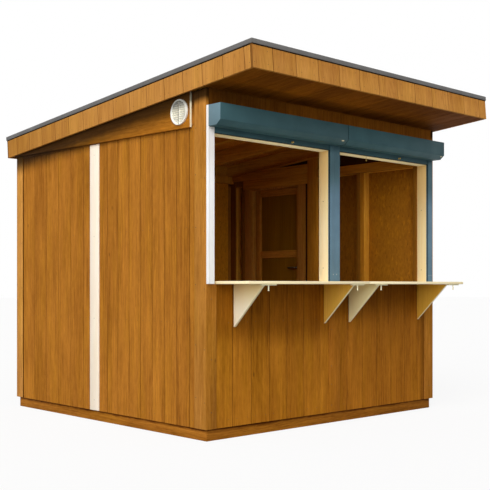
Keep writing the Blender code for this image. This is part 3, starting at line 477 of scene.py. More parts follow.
def strands(name, light, dark, chips=75.0, shade=None):
    """A strand board finish, which may lie in a shade."""
    material, tree, shader, place = finish(name)
    values = {"Place": place, "Light Colour": srgb(*light), "Dark Colour": srgb(*dark), "Chip Scale": chips}
    board = node(tree, "ShaderNodeGroup", values, node_tree=STRAND_BOARD).outputs
    dress(tree, shader, place, board["Colour"], board["Roughness"], 0.25, shade)
    add_relief(tree, shader, board["Relief"], 0.3, 0.001)
    return material


floor_strands = strands("floor_strands", (216, 174, 104), (160, 116, 56), 60.0)
eased_copy("floor_deck", 0.001, [floor_strands])


# Walls: stained boards with a small V joint, nailed upright on to a thin strand board sheet.
# Each panel is one row of boards, cut to the panel at both ends.
def boarding_tree():
    """A row of boards along X from the origin, with the outer face on Y = 0 and grain along Z."""
    tree, given, result = new_tree(
        "boarding",
        "GeometryNodeTree",
        (
            ("Length", "Float", 1.0),
            ("Height", "Float", 2.0),
            ("Thickness", "Float", 0.012),
            ("First Joint", "Float", 0.1),
            ("Board Width", "Float", 0.14),
            ("Joint", "Float", 0.0035),
            ("Chamfer", "Float", 0.004),
            ("Unevenness", "Float", 0.0005),
            ("Seed", "Int", 1),
            ("Material", "Material", None),
        ),
        (("Boards", "Geometry"),),
    )

    def sums(operation, *values):
        return maths(tree, operation, *values)

    def stored(geometry, label, value, data_type="FLOAT"):
        values = {"Geometry": geometry, "Name": label, "Value": value}
        kind = "GeometryNodeStoreNamedAttribute"
        return node(tree, kind, values, data_type=data_type, domain="POINT").outputs[0]

    def named(label, data_type="FLOAT"):
        kind = "GeometryNodeInputNamedAttribute"
        return node(tree, kind, {"Name": label}, data_type=data_type).outputs[0]

    block = {"Size": (1, 1, 1), "Vertices X": 4, "Vertices Y": 2, "Vertices Z": 2}
    block = node(tree, "GeometryNodeMeshCube", block).outputs["Mesh"]
    block = stored(block, "corner", node(tree, "GeometryNodeInputPosition").outputs[0], "FLOAT_VECTOR")
    spare = sums("SUBTRACT", given["Length"], given["First Joint"])
    count = sums("ADD", sums("CEIL", sums("DIVIDE", spare, given["Board Width"])), 1.0)
    row = node(tree, "GeometryNodeMeshLine", {"Count": count, "Offset": (0, 0, 0)}).outputs[0]
    index = node(tree, "GeometryNodeInputIndex").outputs[0]
    last = sums("MULTIPLY_ADD", index, given["Board Width"], given["First Joint"])
    first = sums("MAXIMUM", sums("SUBTRACT", last, given["Board Width"]), 0.0)
    last = sums("MINIMUM", last, given["Length"])
    draw = {"Min": 0.0, "Max": 1.0, "ID": index, "Seed": given["Seed"]}
    draw = node(tree, "FunctionNodeRandomValue", draw, data_type="FLOAT")
    chance = [socket for socket in draw.outputs if socket.enabled][0]
    for label, value in (("first", first), ("last", last), ("board", chance)):
        row = stored(row, label, value)
    boards = node(tree, "GeometryNodeInstanceOnPoints", {"Points": row, "Instance": block}).outputs[0]
    boards = node(tree, "GeometryNodeRealizeInstances", {0: boards}).outputs[0]

    corner = node(tree, "ShaderNodeSeparateXYZ", {0: named("corner", "FLOAT_VECTOR")}).outputs
    middle = sums("LESS_THAN", sums("ABSOLUTE", corner[0]), 0.3)
    outer_edge = sums("SUBTRACT", 1.0, middle)
    is_right, is_back, is_top = [sums("GREATER_THAN", corner[axis], 0.0) for axis in range(3)]
    edge_gap = sums("MULTIPLY_ADD", middle, given["Chamfer"], sums("MULTIPLY", given["Joint"], 0.5))
    left = sums("ADD", named("first"), edge_gap)
    right = sums("SUBTRACT", named("last"), edge_gap)
    x = sums("ADD", left, sums("MULTIPLY", is_right, sums("SUBTRACT", right, left)))
    uneven = sums("MULTIPLY", named("board"), given["Unevenness"])
    front = sums("MULTIPLY_ADD", outer_edge, given["Chamfer"], uneven)
    y = sums("ADD", front, sums("MULTIPLY", is_back, sums("SUBTRACT", given["Thickness"], front)))
    z = sums("MULTIPLY", is_top, given["Height"])
    place = node(tree, "ShaderNodeCombineXYZ", {0: x, 1: y, 2: z}).outputs[0]
    boards = node(tree, "GeometryNodeSetPosition", {"Geometry": boards, "Position": place}).outputs[0]
    boards = stored(boards, "edge", outer_edge)
    boards = {"Geometry": boards, "Material": given["Material"]}
    tree.links.new(node(tree, "GeometryNodeSetMaterial", boards).outputs[0], result["Boards"])
    return tree


BOARDING = boarding_tree()


def grow(name, tree, values, mesh=None):
    """The plain mesh that a Geometry Nodes tree makes from named values."""
    holder = bpy.data.objects.new(name, mesh or bpy.data.meshes.new(name))
    bpy.context.scene.collection.objects.link(holder)
    modifier = holder.modifiers.new(tree.name, "NODES")
    modifier.node_group = tree
    sockets = {
        item.name: item.identifier
        for item in tree.interface.items_tree
        if item.item_type == "SOCKET" and item.in_out == "INPUT"
    }
    for label, value in values.items():
        modifier[sockets[label]] = value
    made = evaluated(holder)
    bpy.data.objects.remove(holder, do_unlink=True)
    for label in ("corner", "first", "last", "facing"):
        if label in made.attributes:
            made.attributes.remove(made.attributes[label])
    return made


def boarding(name, place, material, **sizes):
    """A row of boards put in place by a matrix."""
    values = {key.replace("_", " ").title(): value for key, value in sizes.items()}
    mesh = grow(name, BOARDING, {**values, "Material": material})
    mesh.transform(place)
    return show(name, mesh, [material])


def face_frame(low, high, facing):
    """The matrix, the length and the height of a wall face that looks left, right, front or rear."""
    turn, x, y = {
        "front": (0, low.x, low.y),
        "left": (-90, low.x, high.y),
        "right": (90, high.x, low.y),
        "rear": (180, high.x, high.y),
    }[facing]
    size = high - low
    place = Matrix.Translation((x, y, low.z)) @ Matrix.Rotation(math.radians(turn), 4, "Z")
    return place, size.x if facing in ("front", "rear") else size.y, size.z


def slab(name, low, high, material, easing=0.001):
    """A rectangular board or sheet with eased edges."""
    bm = bmesh.new()
    corners = bmesh.ops.create_cube(bm, size=1.0)["verts"]
    low = Vector(low)
    high = Vector(high)
    bmesh.ops.scale(bm, vec=high - low, verts=corners)
    bmesh.ops.translate(bm, vec=(low + high) / 2, verts=corners)
    return show(name, ease(from_bmesh(name, bm), easing), [material])


def painted(name, colour, roughness, metallic=0.0, dirt=0.06, gloss=0.4, shade=None):
    """An even coat of paint, moulded plastic or plated metal, with faint dust and a fine texture, darkened by
    a painted shade where one is given.
    """
    material, tree, shader, place = finish(name)
    dust = noise(tree, place, 7.0, 5.0)
    clean = srgb(*colour)
    dusty = tuple(channel * (1 - 3 * dirt) for channel in clean[:3]) + (1,)
    tone = blend_colours(tree, spread(tree, dust, 0.3, 0.7), clean, dusty)
    dull = spread(tree, dust, 0.3, 0.7, roughness, roughness + 0.12)
    dress(tree, shader, place, tone, dull, gloss, shade)
    shader.inputs["Metallic"].default_value = metallic
    add_relief(tree, shader, noise(tree, place, 420.0, 2.0), 0.12, 0.0003)
    return material


def heads_tree():
    """A low round head on each point of a mesh, turned to the point's own facing."""
    tree, given, result = new_tree(
        "fixing_heads",
        "GeometryNodeTree",
        (
            ("Points", "Geometry", None),
            ("Radius", "Float", 0.004),
            ("Rise", "Float", 0.001),
            ("Recess", "Float", 0.4),
            ("Sides", "Int", 10),
            ("Material", "Material", None),
            ("Recess Material", "Material", None),
        ),
        (("Heads", "Geometry"),),
    )

    def coloured(part, label):
        return node(tree, "GeometryNodeSetMaterial", {"Geometry": part, "Material": given[label]}).outputs[0]

    rim = {
        "Vertices": given["Sides"],
        "Radius Top": maths(tree, "MULTIPLY", given["Radius"], 0.75),
        "Radius Bottom": given["Radius"],
        "Depth": given["Rise"],
    }
    rim = coloured(node(tree, "GeometryNodeMeshCone", rim).outputs["Mesh"], "Material")
    recess = {
        "Vertices": 6,
        "Radius": maths(tree, "MULTIPLY", given["Radius"], given["Recess"]),
        "Depth": maths(tree, "MULTIPLY", given["Rise"], 0.5),
    }
    recess = node(tree, "GeometryNodeMeshCylinder", recess).outputs["Mesh"]
    lift = node(tree, "ShaderNodeCombineXYZ", {2: maths(tree, "MULTIPLY", given["Rise"], 0.78)}).outputs[0]
    recess = node(tree, "GeometryNodeTransform", {"Geometry": recess, "Translation": lift}).outputs[0]
    recess = coloured(recess, "Recess Material")
    head = node(tree, "GeometryNodeJoinGeometry")
    for part in (recess, rim):
        tree.links.new(part, head.inputs[0])
    facing = node(tree, "GeometryNodeInputNamedAttribute", {"Name": "facing"}, data_type="FLOAT_VECTOR")
    turn = node(tree, "FunctionNodeAlignRotationToVector", {"Vector": facing.outputs[0]}, axis="Z").outputs[0]
    heads = {"Points": given["Points"], "Instance": head.outputs[0], "Rotation": turn}
    heads = node(tree, "GeometryNodeInstanceOnPoints", heads).outputs[0]
    tree.links.new(node(tree, "GeometryNodeRealizeInstances", {0: heads}).outputs[0], result["Heads"])
    return tree


FIXING_HEADS = heads_tree()
HEAD_RISE = 0.001
HEAD_SIDES = 10
dull_steel = painted("dull_steel", (112, 88, 62), 0.5, metallic=0.5, dirt=0.1)
# Each head gets a near-black disc on top for its recess: painted shade for the hollow.
recess_shade = painted("recess_shade", (34, 30, 28), 0.7)


def fixings(name, spots, radius, recess=0.35, material=dull_steel, body="kiosk", slot="door_ironwork"):
    """Nail or screw heads on a list of (place, facing)."""
    points = bpy.data.meshes.new(name)
    points.from_pydata([spot for spot, _ in spots], [], [])
    facing = points.attributes.new("facing", "FLOAT_VECTOR", "POINT")
    for i, (_, direction) in enumerate(spots):
        facing.data[i].vector = direction
    values = {
        "Radius": radius,
        "Rise": HEAD_RISE,
        "Recess": recess,
        "Sides": HEAD_SIDES,
        "Material": material,
        "Recess Material": recess_shade,
    }
    piece = bpy.data.objects.new(name, grow(name, FIXING_HEADS, values, points))
    bpy.context.scene.collection.objects.link(piece)
    return keep(piece, body=body, slot=slot)


NAIL_RADIUS = 0.0024
NAIL_HEIGHTS = (0.05, 0.7, 1.34, 1.98)
NAIL_MARGIN = 0.012


def nail_rows(place, length, height, first, width, heights=NAIL_HEIGHTS):
    """Two nails in each board at each height of a row of boards."""
    spots = []
    facing = place.to_3x3() @ Vector((0, -1, 0))
    edge = first - width
    while edge < length:
        for share in (0.22, 0.78):
            x = edge + share * width
            if NAIL_MARGIN < x < length - NAIL_MARGIN:
                spots += [(place @ Vector((x, 0.0, level)), facing) for level in heights if level < height]
        edge += width
    return spots


EAVES_LINE = 2.2279
DARK_UNDER_EAVES = 0.045


def under_eaves(reach, darkest=0.1):
    """The shade below the sloping edge of the roof, down to a reach."""
    return shelter(EAVES_LINE - DARK_UNDER_EAVES, EAVES_LINE - reach, (darkest,) * 3, (0, ROOF_FALL, 1))


BOARD_THICKNESS = 0.012
BACKING_THICKNESS = 0.006
FRONT_BOARD_FACE = -1.246
SIDE_JOINT = {"joint": 0.0028, "chamfer": 0.0033}
FRONT_JOINT = {"joint": 0.0018, "chamfer": 0.0026}
STUD_SHADE = shelter(-0.49, -0.56, (0.74, 0.70, 0.5), (0, 1, 0))
# The three sheets are one strand board in three tones, as painted light and shade inside the room: the right
# one is the darkest, and darker still behind the stud.
left_strands = strands("left_strands", (222, 150, 16), (170, 107, 6))
right_strands_shaded = strands("right_strands_shaded", (176, 113, 3), (132, 79, 1), shade=STUD_SHADE)
rear_strands = strands("rear_strands", (238, 160, 28), (196, 124, 12))
stained_upright = timber("stained_upright", "Z", STAIN_LIGHT, STAIN_DARK, under_eaves(0.19), board_tone=0.22)


def wall_panel(cad_node, facing, first, width, seed, material=stained_upright, stop_short=0):
    """The boards of a wall panel, their nails, and the sheet behind them."""
    low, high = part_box(cad_node)
    if facing == "front":
        low.y = FRONT_BOARD_FACE
    place, length, height = face_frame(low, high, facing)
    length -= stop_short
    boards = boarding(
        cad_node + "_boards",
        place,
        material,
        length=length,
        height=height,
        thickness=BOARD_THICKNESS,
        first_joint=first,
        board_width=width,
        seed=seed,
        **(FRONT_JOINT if facing == "front" else SIDE_JOINT),
    )
    keep(boards, cad_node)
    fixings(cad_node + "_nails", nail_rows(place, length, height, first, width), NAIL_RADIUS)
    if facing == "left":
        low.x += BOARD_THICKNESS
    elif facing == "right":
        high.x -= BOARD_THICKNESS
    elif facing == "front":
        low.y = high.y - BACKING_THICKNESS
    else:
        high.y = low.y + BACKING_THICKNESS
    sheet_finish = {"rear": rear_strands, "right": right_strands_shaded}.get(facing, left_strands)
    keep(slab(cad_node + "_sheet", low, high, sheet_finish), cad_node, replaced=False)


wall_panel("left_wall_front", "left", 0.106, 0.1388, 11)
wall_panel("left_wall_rear", "left", 0.188, 0.185, 12)
wall_panel("right_wall_front", "right", 0.11, 0.1388, 13)
wall_panel("right_wall_rear", "right", 0.14, 0.1388, 14)
wall_panel("rear_wall_left", "rear", 0.12, 0.1388, 15)
wall_panel("rear_wall_right", "rear", 0.09, 0.1388, 16)


# Joint boards: bare planed pine over the joint between two panels, fixed with a column of screws.
# They are left pale, against the stain beside them.
BARE_MARKS = {"fibres": 0.35, "rings": 0.3, "knots": 0.2, "board_tone": 0.2, "golden": 0.1}
bare_upright = timber("bare_upright", "Z", (255, 246, 232), (248, 230, 206), **BARE_MARKS)
pale_screw = painted("pale_screw", (206, 196, 176), 0.4, metallic=0.3)
stained_inside = timber("stained_inside", "Z", (120, 74, 16), (80, 46, 8))
for board_name, facing in (
    ("left_joint_board", (-1, 0, 0)),
    ("right_joint_board", (1, 0, 0)),
    ("rear_joint_board", (0, 1, 0)),
):
    outward = Vector(facing)
    faces = [bare_upright, stained_inside]
    eased_copy(board_name, 0.003, faces, lambda face: face.normal.dot(outward) < -0.9)
    low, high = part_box(board_name)
    outer = (low + high) / 2 + outward * abs((high - low).dot(outward)) / 2
    spots = [((outer.x, outer.y, low.z + level), facing) for level in (0.08, 0.7, 1.32, 1.94)]
    fixings(board_name + "_screws", spots, 0.0038, material=pale_screw)


# Stud frames and rafters: sawn timber, brushed with the same stain. They show inside, through the hatches and
# the doorway, and their faces that look into the room are darker: painted shade.
def into_room(face):
    """The faces that look into the room take a darker copy of the stain than the sides of the studs: painted
    shade.
    """
    return 1 if abs(face.normal.x) > 0.9 else 0


FRAME_LIGHT = (242, 178, 68)
FRAME_DARK = (190, 126, 33)
ROUGH_MARKS = {"fibres": 0.6, "rings": 0.4, "knots": 0.6, "board_tone": 0.3, "golden": 0.2}
SAWN_MARKS = {**ROUGH_MARKS, "fibres": 0.5, "knots": 0.5}
frame_upright = timber("frame_upright", "Z", FRAME_LIGHT, FRAME_DARK, **ROUGH_MARKS)
frame_along = timber("frame_along", "Y", FRAME_LIGHT, FRAME_DARK, **ROUGH_MARKS)
# The next two are darker copies of the frame stain, the second less dark: painted shade on faces that look
# into the room.
frame_shaded = timber("frame_shaded", "Z", (156, 103, 34), (118, 72, 14), **SAWN_MARKS)
stud_half_shade = timber("stud_half_shade", "Z", (222, 152, 46), (164, 104, 22), **SAWN_MARKS)
for frame_name in (
    "left_wall_frame",
    "right_frame_front",
    "right_frame_rear",
    "rear_wall_frame",
    "front_wall_frame",
):
    eased_copy(frame_name, EASING, [frame_upright, frame_shaded], into_room)
eased_copy("roof_frame", EASING, [frame_along])
doubling = slab("right_doubling_stud", (1.1577, -0.5792, 0.1506), (1.2271, -0.5342, 2.0297), frame_upright)
doubling.data.materials.append(stud_half_shade)
for face in doubling.data.polygons:
    face.material_index = into_room(face)
keep(doubling, slot="framing_timber")


# Side wall plates: inside, a plate runs over the studs and one over the door, and a thin rafter hangs under
# the deck. Between them the wall is lined with a thin very dark sheet: painted shade under the roof.
def section_piece(name, outline, start, end, axis, material, easing=0.0006):
    """A closed bar of one section, from start to end along X, Y or Z."""
    order = {"X": (2, 0, 1), "Y": (0, 2, 1), "Z": (0, 1, 2)}[axis]
    bm = bmesh.new()
    rings = []
    for place in (start, end):
        corners = [(*point, place) for point in outline]
        rings.append([bm.verts.new([corner[i] for i in order]) for corner in corners])
    bm.faces.new(rings[0])
    bm.faces.new(rings[1])
    for i in range(len(outline)):
        j = (i + 1) % len(outline)
        bm.faces.new((rings[0][i], rings[0][j], rings[1][j], rings[1][i]))
    bmesh.ops.recalc_face_normals(bm, faces=bm.faces)
    return show(name, ease(from_bmesh(name, bm), easing), [material])


def under_roof(y, drop):
    """A point on the side frame's sloping top, lowered by a drop."""
    return y, SIDE_TOP - ROOF_FALL * (y - SIDE_FRONT) - drop


SIDE_TOP = 2.3362
SIDE_FRONT = -1.1574
INNER_FACE = 1.1574
PLATE_FRONT = -1.15
PLATE_REAR = 1.14
STUD_PLATE_END = -0.0335
DOOR_PLATE_START = 0.089
LINING_FOOT = 2.10
THIN_GAP = 0.0003
LINING_MARKS = {"fibres": 0.3, "rings": 0.2, "knots": 0.0, "board_tone": 0.1, "golden": 0.2}
# The lining's very dark brown is painted shade under the roof.
lining_shade = timber("lining_shade", "Y", (74, 44, 10), (48, 27, 5), **LINING_MARKS)
plate_stain = timber("plate_stain", "Y", (222, 156, 54), (164, 104, 24), **{**SAWN_MARKS, "knots": 0.4})
lining = [
    (PLATE_FRONT, LINING_FOOT),
    (PLATE_REAR, LINING_FOOT),
    under_roof(PLATE_REAR, 0.012),
    under_roof(PLATE_FRONT, 0.002),
]
stud_plate = [
    (PLATE_FRONT, 2.034),
    (STUD_PLATE_END, 2.034),
    (STUD_PLATE_END, 2.108),
    (PLATE_FRONT, 2.108),
]
door_plate = [
    (DOOR_PLATE_START, 2.085),
    (PLATE_REAR, 2.085),
    under_roof(PLATE_REAR, 0.032),
    (0.66, 2.171),
    (DOOR_PLATE_START, 2.171),
]
side_rafter = [
    under_roof(PLATE_FRONT, 0.026),
    under_roof(PLATE_REAR, 0.026),
    under_roof(PLATE_REAR, 0.009),
    under_roof(PLATE_FRONT, 0.009),
]
for side_name, inward in (("left", 1), ("right", -1)):
    for layer_name, depth, material, outline in (
        ("lining", 0.002, lining_shade, lining),
        ("stud_plate", 0.026, plate_stain, stud_plate),
        ("door_plate", 0.026, plate_stain, door_plate),
        ("side_rafter", 0.030, plate_stain, side_rafter),
    ):
        ends = sorted((inward * (THIN_GAP - INNER_FACE), inward * (depth - INNER_FACE)))
        layer = section_piece(f"{side_name}_{layer_name}", outline, *ends, "X", material, 0.001)
        keep(layer, slot="framing_timber")
for name, low, high, material, easing in (
    ("door_head", (1.1340, 0.089, 1.990), (1.1570, 0.984, 2.0845), plate_stain, 0.001),
    ("right_joint_stud", (1.1300, -0.033, 0.1505), (1.1570, 0.0885, 2.236), stud_half_shade, 0.001),
    ("door_packing", (1.1555, 0.0895, 0.151), (1.1575, 0.1345, 2.0335), lining_shade, 0.0005),
):
    keep(slab(name, low, high, material, easing), slot="framing_timber")


# Corner boards: two stained boards at each corner, which cover the ends of the boarding.
# They are a little lighter than the boarding, nailed near both edges of the side face and down the middle of
# the end face.
def by_side(face):
    """The narrow edges that meet the boarding are very dark, as painted shadow of the gap there, and the
    front and rear faces take a darker copy of the stain: painted shade.
    """
    if abs(face.normal.y) > 0.9:
        return 1 if abs(face.center.y) < 1.2 else 2
    return 0


corner_shade = under_eaves(0.1)
corner_stain = timber("corner_stain", "Z", (206, 141, 63), (148, 94, 31), corner_shade, board_tone=0.1)
corner_pale = timber("corner_pale", "Z", (226, 162, 86), (172, 114, 50), under_eaves(0.19), board_tone=0.1)
# corner_front is a darker copy of the stain, as painted shade, and the very dark edge finish is painted
# shadow.
corner_front = timber("corner_front", "Z", (196, 130, 50), (140, 86, 22), corner_shade, board_tone=0.1)
edge_shadow = timber("edge_shadow", "Z", (92, 54, 12), (60, 32, 4))
WALL_FACE = 1.25
for corner_name, side, end, stain in (
    ("corner_front_left", -1, -1, corner_stain),
    ("corner_front_right", 1, -1, corner_stain),
    ("corner_rear_left", -1, 1, corner_pale),
    ("corner_rear_right", 1, 1, corner_stain),
):
    eased_copy(corner_name, 0.003, [stain, edge_shadow, corner_front], by_side)
    low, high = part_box(corner_name)
    spots = []
    for level in (0.17, 0.52, 0.92, 1.3, 1.65, 1.96):
        for share in (0.16, 0.88):
            y = low.y + share * (high.y - low.y)
            spots.append(((side * WALL_FACE, y, low.z + level + 0.04 * share), (side, 0, 0)))
        if end > 0 or level < 0.95:
            middle = (low.x + high.x) / 2
            spots.append(((middle, end * WALL_FACE, low.z + level - 0.06), (0, end, 0)))
    fixings(corner_name + "_nails", spots, 0.0036)


# Gable boards: stained sheet in the slope below the fascia. The left one keeps a bare cut end
# at the front, beside the vent.
def cut_end(face):
    """The front end of the left gable board is bare wood."""
    return 1 if face.normal.y < -0.9 else 0


END_MARKS = {"fibres": 0.2, "rings": 0.2, "knots": 0.0, "board_tone": 0.1, "golden": 0.1}
gable_stain = timber("gable_stain", "Y", (204, 131, 40), (138, 83, 17), under_eaves(0.2), board_tone=0.1)
bare_end = timber("bare_end", "Z", (255, 252, 226), (255, 244, 206), under_eaves(0.08, 0.25), **END_MARKS)
eased_copy("left_gable_board", EASING, [gable_stain, bare_end], cut_end)
eased_copy("right_gable_board", EASING, [gable_stain])
for backing_name in ("left_gable_backing", "right_gable_backing"):
    eased_copy(backing_name, EASING, [stained_upright])


# Vent: a round louvre moulded in white plastic, with tilted slats between the rim and a centre bar.
# It is set in the left gable board and held by one screw at its lowest point.
def behind_slats(face):
    """The dish behind the slats is a little darker than them, as painted shade in the gaps, and the centre
    bar is greyer than the rim.
    """
    if face.normal.x < -0.9 and abs(face.center.x - VENT_FLOOR) < 0.0008:
        return 1
    if face.normal.x < -0.9 and abs(face.center.x - VENT_BAR_FACE) < 0.0004:
        return 2
    return 0


white_plastic = painted("white_plastic", (255, 254, 244), 0.45, dirt=0.03, shade=under_eaves(0.115, 0.3))
# The dish's finish is a little darker than the slats: painted shade in the gaps between them.
vent_gap_shade = painted("vent_floor_shade", (250, 242, 220), 0.8, dirt=0.03, gloss=0.1, shade=under_eaves(0.1, 0.5))
vent_bar = painted("vent_bar", (150, 142, 122), 0.6, gloss=0.2, shade=under_eaves(0.1, 0.6))
low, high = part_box("left_gable_vent")
VENT_FLOOR = high.x - 0.003
VENT_BAR_FACE = high.x - 0.013
eased_copy("left_gable_vent", 0.0006, [white_plastic, vent_gap_shade, vent_bar], behind_slats)
vent_screw = [((low.x, (low.y + high.y) / 2, low.z + 0.006), (-1, 0, 0))]
fixings("vent_screw", vent_screw, 0.0036, slot="vent_plastic")


# Front wall below the counter: boards as on the side walls, with a cover board over the joint.
# At the right end the boards stop short of the corner board, and a set-back strip fills the gap.
LEFT_COUNTER_SHADE = shelter(0.76, 0.56, (0.62, 0.56, 0.36))
COUNTER_SHADE = shelter(0.95, 0.66, (0.56, 0.52, 0.28))
FILLER_WIDTH = 0.055
FILLER_FACE = -1.2405
FILLER_BACK = -1.2341
front_bright = timber("front_bright", "Z", (196, 127, 35), (133, 78, 12), LEFT_COUNTER_SHADE, board_tone=0.22)
front_stain = timber("front_stain", "Z", (182, 115, 31), (122, 69, 11), COUNTER_SHADE, board_tone=0.22)
filler_stain = timber("filler_stain", "Z", (168, 104, 30), (116, 68, 14), COUNTER_SHADE)
cover_stain = timber("cover_stain", "Z", (190, 121, 38), (136, 79, 15), COUNTER_SHADE, board_tone=0.1)
wall_panel("front_wall_left", "front", 0.147, 0.174, 21, front_bright)
wall_panel("front_wall_right", "front", 0.09, 0.178, 22, front_stain, FILLER_WIDTH)
low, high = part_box("front_wall_right")
filler_low = (high.x - FILLER_WIDTH, FILLER_FACE, low.z)
filler = slab("front_wall_filler", filler_low, (high.x, FILLER_BACK, high.z), filler_stain)
keep(filler, "front_wall_right", replaced=False)
eased_copy("front_cover_board", 0.003, [cover_stain])
cover_spots = [((-0.022, -WALL_FACE, level), (0, -1, 0)) for level in (0.135, 0.29, 0.428, 0.7, 0.93)]
fixings("cover_board_nails", cover_spots, 0.0036)


# Hatch frame: bare pine sill, posts and lintel of the two openings, and the stained header boards
# that fill the wall above the shutter boxes, with a bead in the corner under the soffit.
def by_member(face):
    """Faces that look up or down belong to the sill and the lintel. The right post's reveal takes a darker
    copy of the post finish: painted shade of the box above.
    """
    if face.normal.x < -0.9 and face.center.x > 1.0:
        return 2
    return 1 if abs(face.normal.z) > 0.7 else 0


POST_SHADE = shelter(1.95, 1.45, (0.94, 0.82, 0.60))
PLANED_MARKS = {"fibres": 0.3, "rings": 0.3, "knots": 0.15, "board_tone": 0.2, "golden": 0.2}
post_upright = timber("post_upright", "Z", (255, 238, 194), (252, 224, 170), POST_SHADE, **PLANED_MARKS)
post_across = timber("post_across", "X", (255, 246, 204), (255, 236, 180), **{**END_MARKS, "knots": 0.05})
post_right_shaded = timber("post_right_shaded", "Z", (248, 228, 182), (244, 214, 158), POST_SHADE, **PLANED_MARKS)
eased_copy("hatch_frame", EASING, [post_upright, post_across, post_right_shaded], by_member)
post_spots = [((x, -1.2, level), (-1, 0, 0)) for x in (-0.061, 1.158) for level in (1.66, 1.16)]
fixings("post_screws", post_spots, 0.0034)
HEADER_SHADE = shelter(1.15, 0.2, (0.42, 0.42, 0.5), (-1, 0, 0))
header_stain = timber("header_stain", "Z", (172, 104, 24), (112, 62, 7), HEADER_SHADE, board_tone=0.1)
low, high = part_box("front_header")
header_place, header_length, header_height = face_frame(low, high, "front")
header = boarding(
    "front_header_boards",
    header_place,
    header_stain,
    length=header_length,
    height=header_height,
    thickness=high.y - low.y,
    first_joint=0.12,
    board_width=0.2,
    joint=0.001,
    chamfer=0.0012,
    seed=31,
)
keep(header, "front_header")
bead_low = (low.x + 0.002, low.y - 0.0041, high.z - 0.0026)
bead_high = (high.x - 0.002, low.y - THIN_GAP, high.z + 0.008)
header_bead = slab("front_header_bead", bead_low, bead_high, header_stain, 0.0004)
keep(header_bead, "front_header", replaced=False)


# Guide rails: coated aluminium sections with fine grooves in front and a brushed slot for the slats.
# The left one is white, the other two grey-blue. Two screws near the foot hold each grey-blue one.
RAIL_GROOVES = (-0.012, 0.0, 0.012)
RAIL_SLOT_WIDTH = 0.01
RAIL_SLOT_DEPTH = 0.036
BRUSH_TOP = 2.07
rail_low, rail_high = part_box("guide_rail_left")
SLOT_Y = (rail_low.y + rail_high.y) / 2


def rail_outline(start, end, front, back, slot_left, slot_right):
    """The section of a guide rail, from its front left corner."""
    near = SLOT_Y - RAIL_SLOT_WIDTH / 2
    far = SLOT_Y + RAIL_SLOT_WIDTH / 2
    outline = [(start, front)]
    for offset in RAIL_GROOVES:
        groove = (start + end) / 2 + offset
        outline += [
            (groove - 0.001, front),
            (groove - 0.001, front + 0.0012),
            (groove + 0.001, front + 0.0012),
            (groove + 0.001, front),
        ]
    outline.append((end, front))
    if slot_right:
        deep = end - RAIL_SLOT_DEPTH
        outline += [(end, near), (deep, near), (deep, far), (end, far)]
    outline += [(end, back), (start, back)]
    if slot_left:
        deep = start + RAIL_SLOT_DEPTH
        outline += [(start, far), (deep, far), (deep, near), (start, near)]
    return outline


RAIL_SHADE = shelter(1.86, 1.66, (0.48, 0.58, 0.52))
WHITE_SHADE = shelter(1.95, 1.7, (0.9, 0.87, 0.84))
rail_blue = painted("rail_blue", (102, 134, 154), 0.45, gloss=0.3, shade=RAIL_SHADE)
rail_white = painted("rail_white", (254, 254, 254), 0.4, dirt=0.015, gloss=0.3, shade=WHITE_SHADE)
brush_black = painted("brush_black", (26, 26, 27), 0.9, gloss=0.1)
for rail_name, paint, slot_left, slot_right in (
    ("guide_rail_left", rail_white, False, True),
    ("guide_rail_centre", rail_blue, True, True),
    ("guide_rail_right", rail_blue, True, False),
):
    low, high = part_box(rail_name)
    outline = rail_outline(low.x, high.x, low.y, high.y, slot_left, slot_right)
    keep(section_piece(rail_name + "_section", outline, low.z, high.z, "Z", paint, 0.0008), rail_name)
    for side, slotted, mouth, inward in (("left", slot_left, low.x, 1), ("right", slot_right, high.x, -1)):
        if not slotted:
            continue
        start, end = sorted((mouth + inward * 0.001, mouth + inward * 0.006))
        for strip, y in (("front", SLOT_Y - 0.0042), ("rear", SLOT_Y + 0.0042)):
            brush_low = (start, y - 0.0007, low.z + 0.001)
            brush_high = (end, y + 0.0007, BRUSH_TOP)
            brush = slab(f"{rail_name}_{side}_{strip}_brush", brush_low, brush_high, brush_black, 0.0002)
            keep(brush, rail_name, replaced=False)
zinc = painted("zinc", (206, 208, 210), 0.3, metallic=0.5)
rail_spots = [((x, rail_low.y, 1.112), (0, -1, 0)) for x in (-0.0256, 0.0091, 1.168, 1.197)]
fixings("rail_screws", rail_spots, 0.0038, material=zinc, slot="shutter_blue_metal")


# Shutters: both are rolled up. Only the bottom bar of each shows below its box, a grooved section with a
# rubber foot, and a small turned brass lock with a round plate. A hook is screwed in the lintel.
def turned(name, profile, place, facing, material, sides=24, stretch=1.0):
    """A lathe-turned piece: profile gives (radius, height) along the facing; stretch widens it in X."""
    bm = bmesh.new()
    rings = []
    for radius, height in profile:
        angles = [2 * math.pi * i / sides for i in range(sides)]
        rings.append([bm.verts.new((radius * math.cos(a), radius * math.sin(a), height)) for a in angles])
    for lower, upper in zip(rings, rings[1:]):
        for i in range(sides):
            j = (i + 1) % sides
            bm.faces.new((lower[i], lower[j], upper[j], upper[i]))
    bm.faces.new(list(reversed(rings[0])))
    bm.faces.new(rings[-1])
    mesh = from_bmesh(name, bm)
    turn = Vector(facing).to_track_quat("Z", "Y").to_matrix().to_4x4()
    mesh.transform(Matrix.Translation(place) @ Matrix.Diagonal((stretch, 1, 1, 1)) @ turn)
    return show(name, smooth(mesh, 40), [material])
